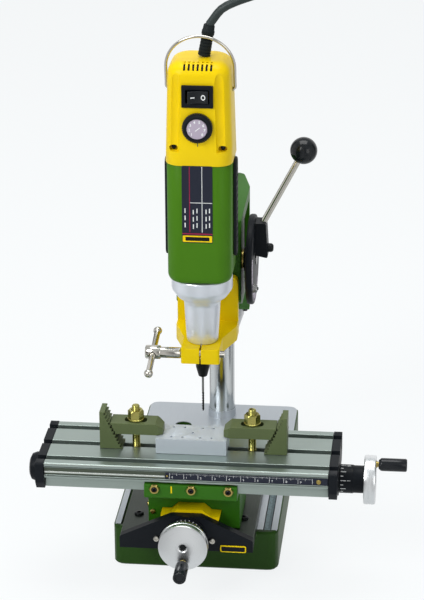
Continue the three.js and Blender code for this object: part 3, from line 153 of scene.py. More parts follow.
class Graph:
    """The nodes of one material or world."""

    def __init__(self, tree: bpy.types.NodeTree) -> None:
        """Empties the tree."""
        self.tree = tree
        tree.nodes.clear()

    def node(self, kind: str, settings: dict[str, Any] | None = None,
             sockets: dict[Any, Any] | None = None, output: Any = 0) -> Value:
        """Adds a node.

        Args:
            kind: the node's type.
            settings: its own properties; "stops" holds a colour ramp's places and colours.
            sockets: values or links for its inputs, by name or number.
            output: the output that is handed back.

        Returns:
            The chosen output.
        """
        made = self.tree.nodes.new(kind)
        for key, value in (settings or {}).items():
            if key != "stops":
                setattr(made, key, value)
                continue
            ramp = made.color_ramp
            while len(ramp.elements) < len(value):
                ramp.elements.new(1.0)
            for element, (place, colour) in zip(ramp.elements, value):
                element.position = place
                element.color = (*colour, 1.0)
        for key, value in (sockets or {}).items():
            if isinstance(value, Value):
                self.tree.links.new(value.socket, made.inputs[key])
            else:
                made.inputs[key].default_value = value
        return Value(self, made.outputs[output])

    def blend(self, share: Any, first: Any, second: Any) -> Value:
        """A colour between two colours."""
        colours = [c if isinstance(c, Value) else (*c, 1.0) for c in (first, second)]
        sockets = {0: share, 6: colours[0], 7: colours[1]}
        return self.node("ShaderNodeMix", {"data_type": "RGBA"}, sockets, 2)

    def place(self) -> Value:
        """The point in the piece's own frame, in millimetres."""
        own = self.node("ShaderNodeTexCoord", output="Object")
        return self.node("ShaderNodeVectorMath", {"operation": "SCALE"}, {0: own, "Scale": 1 / MM})

    def rays(self) -> list[Value]:
        """One for camera rays, for mirrored rays and for rays passed through glass."""
        path = self.node("ShaderNodeLightPath").socket.node
        names = ("Is Camera Ray", "Is Glossy Ray", "Is Transmission Ray")
        return [Value(self, path.outputs[name]) for name in names]

    def parts(self, vector: Value) -> list[Value]:
        """The three coordinates of a vector."""
        split = self.node("ShaderNodeSeparateXYZ", sockets={0: vector}).socket.node
        return [Value(self, out) for out in split.outputs]

    def noise(self, vector: Value, size: float, detail: float = 3.0, stretch: Point = (1, 1, 1)) -> Value:
        """Soft noise, with its grain size in millimetres and a stretch along each axis."""
        if tuple(stretch) != (1, 1, 1):
            shrink = tuple(1 / s for s in stretch)
            vector = self.node("ShaderNodeVectorMath", {"operation": "MULTIPLY"}, {0: vector, 1: shrink})
        sockets = {"Vector": vector, "Scale": 1 / size, "Detail": detail}
        return self.node("ShaderNodeTexNoise", None, sockets)

    def bump(self, height: Value, depth: float) -> Value:
        """A normal from a height, whose full range is a depth in millimetres."""
        sockets = {"Height": height, "Strength": 1.0, "Distance": depth * MM}
        return self.node("ShaderNodeBump", None, sockets)

    def surface(self, **sockets: Any) -> None:
        """Joins a Principled shader to the output; an underscore stands for a space."""
        named = {key.replace("_", " "): value for key, value in sockets.items()}
        shader = self.node("ShaderNodeBsdfPrincipled", None, {
            key: (*value, 1.0) if isinstance(value, tuple) and len(value) == 3 else value
            for key, value in named.items()
        })
        self.tree.links.new(shader.socket, self.tree.nodes.new("ShaderNodeOutputMaterial").inputs[0])


# ---------------------------------------------------------------- finishes


@dataclass(frozen=True)
class Finish:
    """A finish: the record's slot that it belongs to and its two main colours."""

    slot: str
    colour: Colour
    shade: Colour

    def material(self) -> bpy.types.Material:
        """The material of this finish, made once."""
        if self not in MATERIALS:
            MATERIALS[self] = made = bpy.data.materials.new(self.slot)
            made.use_nodes = True
            self.shader(Graph(made.node_tree))
        return MATERIALS[self]

    def shader(self, graph: Graph) -> None:
        """Builds the nodes."""
        raise NotImplementedError


@dataclass(frozen=True)
class Paint(Finish):
    """Sprayed or powder-coated paint with a fine orange peel."""

    roughness: float = 0.38
    peel: float = 1.6
    depth: float = 0.05
    coat: float = 0.2
    sheen: float = 0.2

    def shader(self, graph: Graph) -> None:
        """Paint over its slow change of tone, with the peel in the gloss."""
        at = graph.place()
        peel = graph.noise(at, self.peel, 2.0)
        slow = graph.noise(at, 45.0, 2.0)
        graph.surface(
            Base_Color=graph.blend(slow, self.colour, self.shade),
            Roughness=self.roughness + (peel - 0.5) * 0.16 + (slow - 0.5) * 0.08,
            Normal=graph.bump(peel, self.depth), Coat_Weight=self.coat, Coat_Roughness=0.25,
            Specular_IOR_Level=self.sheen,
        )


@dataclass(frozen=True)
class TwoTone(Paint):
    """Paint on a casting whose top was milled bare: the bare part is a box in X and Y above a height."""

    metal: Colour = (0.46, 0.47, 0.5)
    above: float = 30.4
    reach_x: float = 59.0
    reach_y: Pair = (-105.0, 109.0)

    def shader(self, graph: Graph) -> None:
        """Paint and milled metal, told apart by place."""
        at = graph.place()
        x, y, z = graph.parts(at)
        bare = (z > self.above) * (abs(x) < self.reach_x) * (y > self.reach_y[0]) * (y < self.reach_y[1])
        peel = graph.noise(at, self.peel, 2.0)
        slow = graph.noise(at, 45.0, 2.0)
        milled = graph.noise(at, 0.5, 3.0, (1, 30, 1))
        painted = graph.blend(slow, self.colour, self.shade)
        metal = graph.blend(milled * 0.5 + slow * 0.5, self.metal, tuple(c * 0.86 for c in self.metal))
        graph.surface(
            Base_Color=graph.blend(bare, painted, metal), Metallic=bare * 0.75,
            Roughness=(1 - bare) * (self.roughness + (peel - 0.5) * 0.16) + bare * (0.36 + milled * 0.12),
            Normal=graph.bump((1 - bare) * peel + bare * milled * 0.3, self.depth),
            Coat_Weight=(1 - bare) * self.coat, Specular_IOR_Level=self.sheen,
        )


@dataclass(frozen=True)
class Milled(Finish):
    """Metal cut or drawn along one axis, with fine streaks."""

    stretch: tuple[float, float, float] = (60, 1, 1)
    roughness: float = 0.32
    depth: float = 0.012
    metallic: float = 1.0

    def shader(self, graph: Graph) -> None:
        """Streaks in colour, gloss and height."""
        at = graph.place()
        streak = graph.noise(at, 0.35, 4.0, self.stretch)
        slow = graph.noise(at, 25.0, 2.0)
        graph.surface(
            Base_Color=graph.blend(streak * 0.7 + slow * 0.3, self.colour, self.shade),
            Metallic=self.metallic,
            Roughness=self.roughness + (streak - 0.5) * 0.14 + (slow - 0.5) * 0.08,
            Normal=graph.bump(streak, self.depth),
        )


@dataclass(frozen=True)
class Turned(Finish):
    """Metal turned on a lathe: fine rings round an axis through a centre."""

    axis: Axis = Axis.Z
    centre: Pair = (0.0, 0.0)
    roughness: float = 0.26
    depth: float = 0.01

    def shader(self, graph: Graph) -> None:
        """Rings by distance from the axis and by place along it."""
        at = graph.place()
        parts = graph.parts(at)
        along = parts.pop(self.axis.value)
        u, v = (part - middle for part, middle in zip(parts, self.centre))
        radius = (u * u + v * v).root()
        ring = graph.node("ShaderNodeCombineXYZ", None, {0: radius, 1: along})
        groove = graph.noise(ring, 0.3, 3.0)
        slow = graph.noise(at, 18.0, 2.0)
        graph.surface(
            Base_Color=graph.blend(groove * 0.6 + slow * 0.4, self.colour, self.shade), Metallic=1.0,
            Roughness=self.roughness + (groove - 0.5) * 0.16, Normal=graph.bump(groove, self.depth),
        )


@dataclass(frozen=True)
class Grainy(Finish):
    """Cast, blasted, moulded or rubber surface with an even fine grain."""

    roughness: float = 0.45
    grain: float = 0.5
    depth: float = 0.02
    metallic: float = 0.0
    sheen: float = 0.22

    def shader(self, graph: Graph) -> None:
        """Grain in height and gloss over a slow change of tone."""
        at = graph.place()
        grain = graph.noise(at, self.grain, 3.0)
        slow = graph.noise(at, 22.0, 3.0)
        graph.surface(
            Base_Color=graph.blend(slow * 0.8 + grain * 0.2, self.colour, self.shade),
            Metallic=self.metallic, Specular_IOR_Level=self.sheen,
            Roughness=self.roughness + (grain - 0.5) * 0.18 + (slow - 0.5) * 0.1,
            Normal=graph.bump(grain, self.depth),
        )


@dataclass(frozen=True)
class Plated(Finish):
    """Zinc plate passivated yellow: gold that drifts to green."""

    roughness: float = 0.24

    def shader(self, graph: Graph) -> None:
        """Drifting tint with fine scratches."""
        at = graph.place()
        drift = graph.noise(at, 4.0, 2.0)
        scratch = graph.noise(at, 0.25, 3.0, (1, 1, 8))
        graph.surface(
            Base_Color=graph.blend(drift, self.colour, self.shade), Metallic=1.0,
            Roughness=self.roughness + (scratch - 0.5) * 0.2, Normal=graph.bump(scratch, 0.012),
        )


MATERIALS: dict[Finish, bpy.types.Material] = {}
GREEN = Paint("green_paint", (0.031, 0.138, 0.007), (0.025, 0.114, 0.006), 0.42, 1.4, 0.05, 0.03, 0.12)
# The base's green is a darker copy of the green paint on the carriage and head: painted shade on the base;
# its milled top is bare metal.
BASE_GREEN_SHADED = TwoTone("green_paint", (0.023, 0.07, 0.008), (0.017, 0.055, 0.007), 0.44, 1.4, 0.05, 0.04,
                        0.14, (0.56, 0.6, 0.64))
YELLOW = Paint("yellow_paint", (0.84, 0.62, 0.002), (0.76, 0.54, 0.001), 0.38, 1.6, 0.035, 0.03, 0.1)
GREEN_SHELL = Grainy("green_shell", (0.06, 0.185, 0.006), (0.05, 0.16, 0.005), 0.42, 0.45, 0.012, 0.0, 0.12)
YELLOW_SHELL = Grainy("yellow_shell", (0.84, 0.6, 0.002), (0.78, 0.54, 0.001), 0.34, 0.45, 0.008, 0.0, 0.14)
CHROME = Milled("chrome", (0.66, 0.69, 0.7), (0.56, 0.59, 0.6), (1, 1, 60), 0.16, 0.004)
NICKEL = Grainy("chrome", (0.62, 0.6, 0.55), (0.54, 0.52, 0.47), 0.16, 0.8, 0.003, 1.0)
STEEL = Milled("steel", (0.4, 0.4, 0.39), (0.3, 0.3, 0.3), (12, 1, 1), 0.28)
OXIDE = Grainy("dark_steel", (0.012, 0.014, 0.015), (0.02, 0.022, 0.024), 0.36, 0.5, 0.012, 0.4)
BED_STEEL = Milled("dark_steel", (0.055, 0.068, 0.055), (0.034, 0.044, 0.036), (1, 40, 1), 0.36, 0.01, 0.7)
OLIVE = Grainy("olive_steel", (0.125, 0.16, 0.068), (0.095, 0.125, 0.052), 0.5, 0.6, 0.02, 0.3, 0.25)
ZINC = Plated("zinc_yellow", (0.5, 0.42, 0.12), (0.34, 0.36, 0.11))
BRASS = Plated("brass", (0.55, 0.42, 0.14), (0.44, 0.34, 0.1), 0.28)
TABLE_METAL = Milled("aluminium", (0.4, 0.47, 0.44), (0.31, 0.37, 0.34), (80, 1, 1), 0.32, 0.01, 0.85)
# A lighter copy of the table's aluminium: painted highlights on the table's rib and front edges.
HIGHLIGHT_METAL = Milled("aluminium", (0.7, 0.74, 0.7), (0.6, 0.64, 0.6), (80, 1, 1), 0.26, 0.006, 0.8)
# A darker copy of the table's aluminium: painted shade inside the ruler's groove.
GROOVE_SHADE_METAL = Milled("aluminium", (0.1, 0.12, 0.09), (0.06, 0.075, 0.055), (80, 1, 1), 0.42, 0.01, 0.6)
WORK_METAL = Milled("aluminium", (0.56, 0.61, 0.66), (0.48, 0.53, 0.58), (1, 25, 1), 0.46, 0.012, 0.35)
SILVER_CAST = Grainy("cast_aluminium", (0.78, 0.82, 0.88), (0.71, 0.75, 0.81), 0.36, 0.3, 0.012, 0.7, 0.4)
BLACK = Grainy("black_plastic", (0.006, 0.008, 0.011), (0.01, 0.012, 0.015), 0.42, 0.4, 0.015, 0.0, 0.1)
BLACK_GLOSS = Grainy("black_plastic", (0.006, 0.008, 0.01), (0.009, 0.011, 0.014), 0.16, 0.9, 0.003, 0.0, 0.3)
RUBBER = Grainy("black_rubber", (0.008, 0.012, 0.013), (0.013, 0.017, 0.019), 0.55, 0.5, 0.02, 0.0, 0.12)
CORD_RUBBER = Grainy("black_rubber", (0.02, 0.03, 0.03), (0.028, 0.038, 0.038), 0.45, 0.7, 0.015, 0.0, 0.3)
INK = Grainy("black_plastic", (0.82, 0.84, 0.84), (0.72, 0.74, 0.74), 0.5, 0.3, 0.002)
DARK_INK = Grainy("black_plastic", (0.01, 0.012, 0.014), (0.016, 0.018, 0.02), 0.5, 0.3, 0.002)
# A lighter copy of the black plastic: painted highlights on the knob's knurl.
KNURL_HIGHLIGHT = Grainy("black_plastic", (0.05, 0.056, 0.062), (0.036, 0.04, 0.046), 0.4, 0.5, 0.01)
NAVY = Grainy("black_plastic", (0.012, 0.015, 0.028), (0.016, 0.019, 0.034), 0.34, 0.6, 0.004)
MAGENTA = Grainy("black_plastic", (0.34, 0.01, 0.06), (0.3, 0.01, 0.05), 0.4, 0.6, 0.004)
LILAC = Grainy("black_plastic", (0.44, 0.38, 0.47), (0.38, 0.33, 0.41), 0.4, 0.6, 0.004)
RULER_FACE = Milled("aluminium", (0.16, 0.24, 0.26), (0.11, 0.17, 0.19), (1, 30, 1), 0.3, 0.006, 0.5)


# ---------------------------------------------------------------- shapes


def node_box(name: str) -> tuple[Vector, Vector]:
    """A node's lowest and highest corners at rest, in millimetres."""
    low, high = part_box(name)
    return Vector(low) / MM, Vector(high) / MM


def smooth_path(points: Iterable[Point], step: float) -> list[Vector]:
    """A path through points, resampled as a centripetal curve.

    Args:
        points: the points to pass through.
        step: about how far apart the new points lie, in millimetres.

    Returns:
        The new points.
    """
    given = [Vector(p) for p in points]
    given = [2 * given[0] - given[1], *given, 2 * given[-1] - given[-2]]
    path: list[Vector] = []
    for a, b, c, d in zip(given, given[1:], given[2:], given[3:]):
        knots = [0.0]
        for p, q in ((a, b), (b, c), (c, d)):
            knots.append(knots[-1] + max((q - p).length, 1e-6) ** 0.5)
        count = max(1, round((c - b).length / step))
        for i in range(count):
            t = knots[1] + (knots[2] - knots[1]) * i / count

            def mix(p: Vector, q: Vector, low: float, high: float) -> Vector:
                """A point between two, by their knots."""
                return p * ((high - t) / (high - low)) + q * ((t - low) / (high - low))

            first = [mix(p, q, knots[n], knots[n + 1]) for n, (p, q) in enumerate(((a, b), (b, c), (c, d)))]
            second = [mix(first[n], first[n + 1], knots[n], knots[n + 2]) for n in (0, 1)]
            path.append(mix(second[0], second[1], knots[1], knots[2]))
    path.append(given[-2])
    return path


def polar(centre: Pair, radius: float, turn: float) -> Pair:
    """The point at a radius and a turn about a centre."""
    return centre[0] + radius * math.cos(turn), centre[1] + radius * math.sin(turn)


def path_length(path: Sequence[Vector]) -> float:
    """How long a path is."""
    return sum((q - p).length for p, q in zip(path, path[1:]))


def rounded_ring(width: float, depth: float, corner: float, steps: int = 8) -> list[Pair]:
    """The outline of a rounded rectangle about the origin."""
    corner = min(corner, width / 2 - 0.01, depth / 2 - 0.01)
    ring = []
    for quarter, (sx, sy) in enumerate(((1, 1), (-1, 1), (-1, -1), (1, -1))):
        for i in range(steps + 1):
            angle = math.pi / 2 * (quarter + i / steps)
            ring.append((sx * (width / 2 - corner) + corner * math.cos(angle),
                         sy * (depth / 2 - corner) + corner * math.sin(angle)))
    return ring


class Shape:
    """The faces of one piece while it is made, in millimetres."""

    def __init__(self) -> None:
        """Starts empty."""
        self.mesh = bmesh.new()

    def loops(self, rings: Sequence[Sequence[Vector]], closed: bool = False) -> Shape:
        """Joins rings of equal length, or single points at the ends, into one skin.

        Args:
            rings: the rings in order; a ring of one point closes an end.
            closed: whether the last ring joins the first.

        Returns:
            This shape.
        """
        made = [[self.mesh.verts.new(p) for p in ring] for ring in rings]
        pairs = list(zip(made, made[1:]))
        if closed:
            pairs.append((made[-1], made[0]))
        for first, second in pairs:
            size = max(len(first), len(second))
            for i in range(size):
                j = (i + 1) % size
                corners = [first[i % len(first)], first[j % len(first)],
                           second[j % len(second)], second[i % len(second)]]
                corners = [c for n, c in enumerate(corners) if c not in corners[:n]]
                if len(corners) > 2:
                    self.mesh.faces.new(corners)
        if not closed:
            for ring in (made[0], made[-1]):
                if len(ring) > 2:
                    self.mesh.faces.new(ring)
        return self

    def turn(self, profile: Sequence[Pair], axis: Axis = Axis.Z, centre: Pair = (0, 0),
             segments: int = 64) -> Shape:
        """A turned shape.

        Args:
            profile: radius and place along the axis; it starts and ends on the axis, or is a ring.
            axis: the axis that it is turned on.
            centre: the axis's two other coordinates.
            segments: how many sides it has.

        Returns:
            This shape.
        """
        rings = []
        for radius, along in profile:
            if radius < 1e-6:
                rings.append([axis.place(along, *centre)])
                continue
            turns = [2 * math.pi * i / segments for i in range(segments)]
            rings.append([axis.place(along, *polar(centre, radius, t)) for t in turns])
        return self.loops(rings, closed=profile[0][0] > 1e-6)

    def prism(self, outline: Sequence[Pair], span: Pair, axis: Axis = Axis.Z) -> Shape:
        """A straight shape of one outline between two places along an axis."""
        return self.loops([[axis.place(along, u, v) for u, v in outline] for along in span])

    def block(self, x: Pair, y: Pair, z: Pair) -> Shape:
        """A rectangular block between two values on each axis."""
        return self.prism([(x[0], y[0]), (x[1], y[0]), (x[1], y[1]), (x[0], y[1])], z)

    def slab(self, frame: Matrix, size: Point) -> Shape:
        """A small block of a size about the origin of a frame."""
        half = [s / 2 for s in size]
        rings = [[frame @ Vector((sx * half[0], sy * half[1], sz * half[2]))
                  for sx, sy in ((-1, -1), (1, -1), (1, 1), (-1, 1))] for sz in (-1, 1)]
        return self.loops(rings)

    def tube(self, path: Sequence[Vector], radius: float | Sequence[float], sides: int = 12) -> Shape:
        """A round bar along a path, with one radius or one for each point."""
        radii = [radius] * len(path) if isinstance(radius, (int, float)) else radius
        side = (path[1] - path[0]).orthogonal().normalized()
        rings = []
        for i, point in enumerate(path):
            ahead = (path[min(i + 1, len(path) - 1)] - path[max(i - 1, 0)]).normalized()
            side = (side - ahead * side.dot(ahead)).normalized()
            other = ahead.cross(side)
            rings.append([point + radii[i] * (side * math.cos(t) + other * math.sin(t))
                          for t in (2 * math.pi * n / sides for n in range(sides))])
        return self.loops(rings)

    def text(self, words: str, height: float, frame: Matrix, depth: float = 0.06,
             weight: float = 0.0) -> Shape:
        """Raised figures, centred on a frame's origin and facing along its Z, made bolder by a weight."""
        curve = bpy.data.curves.new("figures", "FONT")
        curve.offset = weight
        curve.body = words
        curve.size = height
        curve.extrude = depth
        curve.resolution_u = 3
        curve.align_x = "CENTER"
        curve.align_y = "CENTER"
        holder = bpy.data.objects.new("figures", curve)
        drawn = bpy.data.meshes.new_from_object(holder)
        drawn.transform(frame)
        self.mesh.from_mesh(drawn)
        bpy.data.objects.remove(holder)
        bpy.data.meshes.remove(drawn)
        bpy.data.curves.remove(curve)
        return self

    def copy(self, node: str) -> Shape:
        """Adds a CAD node's faces, with its flat facets joined."""
        self.mesh.from_mesh(bpy.data.objects[node].data)
        bmesh.ops.scale(self.mesh, vec=(1 / MM,) * 3, verts=self.mesh.verts)
        bmesh.ops.remove_doubles(self.mesh, verts=self.mesh.verts, dist=1e-3)
        bmesh.ops.dissolve_limit(self.mesh, angle_limit=math.radians(1.0), verts=self.mesh.verts,
                                 edges=self.mesh.edges)
        return self

    def moved(self, frame: Matrix) -> Shape:
        """Moves everything made so far."""
        bmesh.ops.transform(self.mesh, matrix=frame, verts=self.mesh.verts)
        return self

    def bare(self, name: str) -> bpy.types.Object:
        """Ends the shape as an object in metres."""
        bmesh.ops.recalc_face_normals(self.mesh, faces=self.mesh.faces)
        bmesh.ops.scale(self.mesh, vec=(MM,) * 3, verts=self.mesh.verts)
        data = bpy.data.meshes.new(name)
        self.mesh.to_mesh(data)
        self.mesh.free()
        made = bpy.data.objects.new(name, data)
        bpy.context.scene.collection.objects.link(made)
        return made

    def carve(self, cutter: Shape) -> Shape:
        """Cuts another shape out of this one."""
        body = self.bare("carved")
        tool = cutter.bare("cutter")
        step = body.modifiers.new("carve", "BOOLEAN")
        step.object = tool
        step.operation = "DIFFERENCE"
        step.solver = "EXACT"
        bpy.context.view_layer.update()
        result = bpy.data.meshes.new_from_object(body.evaluated_get(bpy.context.evaluated_depsgraph_get()))
        self.mesh = bmesh.new()
        self.mesh.from_mesh(result)
        bmesh.ops.scale(self.mesh, vec=(1 / MM,) * 3, verts=self.mesh.verts)
        bpy.data.objects.remove(body)
        bpy.data.objects.remove(tool)
        bpy.data.meshes.remove(result)
        return self

    def piece(self, name: str, body: str, finish: Finish, stands_for: Iterable[str] = (),
              bevel: float = 0.0, segments: int = 2, angle: float = 32.0) -> bpy.types.Object:
        """Ends the shape as a finished piece.

        Args:
            name: the piece's name.
            body: the CAD body that it rides on, or nothing for a piece that is attached to no body.
            finish: its finish.
            stands_for: the CAD nodes that it replaces.
            bevel: the width of its rounded edges in millimetres.
            segments: how many steps an edge is rounded in.
            angle: edges sharper than this are rounded, and shaded as edges.

        Returns:
            The piece.
        """
        made = self.bare(name)
        made.data.shade_smooth()
        made.data.set_sharp_from_angle(angle=math.radians(angle))
        if bevel:
            edge = made.modifiers.new("edges", "BEVEL")
            edge.width = bevel * MM
            edge.segments = segments
            edge.limit_method = "ANGLE"
            edge.angle_limit = math.radians(angle)
            edge.harden_normals = True
            edge.miter_outer = "MITER_ARC"
        made.data.materials.append(finish.material())
        if body:
            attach(made, body)
        if stands_for:
            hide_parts(*stands_for)
        log.info("%s: %d faces on %s", name, len(made.data.polygons), body)
        return made


def screw_head(radius: float, height: float, base: Vector, outward: Vector, hexagon: float = 0.0) -> Shape:
    """A domed or socket screw head.

    Args:
        radius: the head's radius.
        height: how far it stands out.
        base: the middle of its seat.
        outward: the way that it faces.
        hexagon: the radius of its hexagon socket, or nothing for a cross recess.

    Returns:
        The head as a shape.
    """
    head = Shape().turn([(0, 0), (radius, 0), (radius, height * 0.55), (radius * 0.86, height * 0.86),
                         (radius * 0.6, height), (0, height)], segments=32)
    recess = Shape()
    if hexagon:
        ring = [polar((0, 0), hexagon, math.pi * n / 3) for n in range(6)]
        recess.prism(ring, (height * 0.35, height + 1))
    else:
        recess.slab(Matrix.Translation((0, 0, height)), (radius * 1.1, radius * 0.24, height))
        head.carve(recess)
        recess = Shape().slab(Matrix.Translation((0, 0, height)), (radius * 0.24, radius * 1.1, height))
    frame = Matrix.Translation(base) @ outward.to_track_quat("Z", "Y").to_matrix().to_4x4()
    return head.carve(recess).moved(frame)


def hexagon_nut(flats: float, height: float, bore: float, base: Vector, outward: Vector,
                collar: float = 0.0) -> Shape:
    """A hexagon nut with chamfered corners, and a washer face of a radius under it."""
    corner = flats / math.sqrt(3)
    low = 1.4 if collar else 0.0
    turns = [2 * math.pi * n / 36 for n in range(36)]
    rings = []
    for z, reach in ((low, corner), (low + height - 0.9, corner), (low + height, flats / 2 * 0.94)):
        ring = []
        for angle in turns:
            side = (flats / 2) / math.cos((angle % (math.pi / 3)) - math.pi / 6)
            ring.append(Vector((*polar((0, 0), min(side, reach), angle), z)))
        rings.append(ring)
    top = low + height
    circles = [(bore * 1.12, top), (bore, top - 0.6), (bore, 0)]
    if collar:
        circles += [(collar - 0.3, 0), (collar, 0.3), (collar, low - 0.3), (collar - 0.4, low)]
    rings += [[Vector((*polar((0, 0), radius, angle), z)) for angle in turns] for radius, z in circles]
    frame = Matrix.Translation(base) @ outward.to_track_quat("Z", "Y").to_matrix().to_4x4()
    return Shape().loops(rings, closed=True).moved(frame)


def threaded(radius: float, low: float, high: float, pitch: float, depth: float) -> list[Pair]:
    """The profile of a rod with thread-like grooves, from the axis back to the axis."""
    profile = [(0.0, low), (radius - depth, low)]
    turns = max(1, int((high - low) / pitch))
    for i in range(turns):
        at = low + (high - low) * i / turns
        profile += [(radius, at + pitch * 0.35), (radius, at + pitch * 0.6),
                    (radius - depth, at + pitch * 0.95)]
    return [*profile, (radius - depth, high), (0.0, high)]


# ---------------------------------------------------------------- studio


@dataclass
class Studio:
    """Camera, lamps, world and floor."""

    eye: Point = (0.1737, -1.6416, 0.8378)
    yaw: float = 5.98
    pitch: float = 22.16
    roll: float = -0.33
    lens: float = 143.97
    paper: Colour = (0.97, 0.99, 1.0)
    ceiling: Colour = (0.62, 0.64, 0.65)
    drape_reach: float = 0.55
    drapes: tuple[Pair, ...] = (
        (0.0, 0.8), (0.1, 0.03), (0.2, 0.85), (0.3, 0.9), (0.36, 0.08), (0.42, 0.9), (0.55, 0.95),
        (0.62, 0.9), (0.68, 0.04), (0.76, 0.75), (0.85, 0.9), (0.93, 0.12), (1.0, 0.8),
    )

    def camera(self) -> None:
        """Makes the camera at the height and side that the machine is seen from."""
        data = bpy.data.cameras.new("camera")
        data.lens = self.lens
        data.sensor_width = 36.0
        data.clip_end = 50.0
        made = bpy.data.objects.new("camera", data)
        bpy.context.scene.collection.objects.link(made)
        turn = Matrix.Rotation(math.radians(self.yaw), 4, "Z") \
            @ Matrix.Rotation(math.radians(90 - self.pitch), 4, "X") \
            @ Matrix.Rotation(math.radians(self.roll), 4, "Z")
        made.matrix_world = Matrix.Translation(self.eye) @ turn
        bpy.context.scene.camera = made

    def lamp(self, name: str, place: Point, target: Point, size: Pair, power: float,
             colour: Colour = (1, 1, 1)) -> None:
        """A soft rectangular lamp aimed at a point."""
        data = bpy.data.lights.new(name, "AREA")
        data.shape = "RECTANGLE"
        data.size, data.size_y = size
        data.energy = power
        data.color = colour
        made = bpy.data.objects.new(name, data)
        bpy.context.scene.collection.objects.link(made)
        aim = Vector(target) - Vector(place)
        made.matrix_world = Matrix.Translation(place) @ aim.to_track_quat("-Z", "Y").to_matrix().to_4x4()

    def world(self) -> None:
        """A pale room: white where it is seen, with dark drapes and a grey ceiling that metal mirrors."""
        world = bpy.data.worlds.new("room")
        world.use_nodes = True
        bpy.context.scene.world = world
        graph = Graph(world.node_tree)
        seen, glossy, through = graph.rays()
        x, y, z = graph.parts(graph.node("ShaderNodeTexCoord", output="Generated"))
        turn = graph.node("ShaderNodeMath", {"operation": "ARCTAN2"}, {0: x, 1: y}) / math.pi
        stops = [(place, (grey,) * 3) for place, grey in self.drapes]
        drape = graph.node("ShaderNodeValToRGB", {"stops": stops}, {0: turn * 0.5 + 0.5})
        room = graph.blend(abs(z) < self.drape_reach, self.ceiling, drape)
        mirrored = graph.blend(glossy, self.paper, room)
        direct = seen.larger(through)
        colour = graph.blend(direct, mirrored, self.paper)
        bright = direct.larger(glossy)
        lit = graph.node("ShaderNodeBackground", None, {"Color": colour, "Strength": 0.4 + 0.6 * bright})
        graph.tree.links.new(lit.socket, graph.tree.nodes.new("ShaderNodeOutputWorld").inputs[0])

    def floor(self) -> None:
        """A pale floor that keeps a soft shadow, and that mirrored rays mostly pass through."""
        made = Shape().block((-4000, 4000), (-4000, 6000), (-6.0, -0.6)).bare("floor")
        material = bpy.data.materials.new("floor")
        material.use_nodes = True
        graph = Graph(material.node_tree)
        seen, glossy, through = graph.rays()
        paper = (*self.paper, 1.0)
        matt = graph.node("ShaderNodeBsdfDiffuse", None, {"Color": (0.86, 0.88, 0.88, 1.0)})
        glow = graph.node("ShaderNodeEmission", None, {"Color": paper, "Strength": 1.0})
        share = (seen * 0.86).larger(glossy.larger(through) * 0.6)
        mixed = graph.node("ShaderNodeMixShader", None, {0: share, 1: matt, 2: glow})
        clear = graph.node("ShaderNodeBsdfTransparent")
        shown = graph.node("ShaderNodeMixShader", None, {0: glossy * 0.75, 1: mixed, 2: clear})
        graph.tree.links.new(shown.socket, graph.tree.nodes.new("ShaderNodeOutputMaterial").inputs[0])
        made.data.materials.append(material)

    def build(self) -> None:
        """Sets up the whole studio but the camera."""
        bpy.context.scene.view_settings.view_transform = "Standard"
        self.world()
        self.floor()
        self.lamp("key", (-0.9, -1.2, 1.2), (0, 0, 0.2), (0.8, 0.8), 17.0)
        self.lamp("fill", (1.1, -1.3, 0.6), (0, 0, 0.2), (0.7, 1.0), 4.0)
        self.lamp("top", (0.0, 0.1, 1.5), (0, 0, 0.1), (1.1, 0.8), 11.0)


# ---------------------------------------------------------------- mains cord


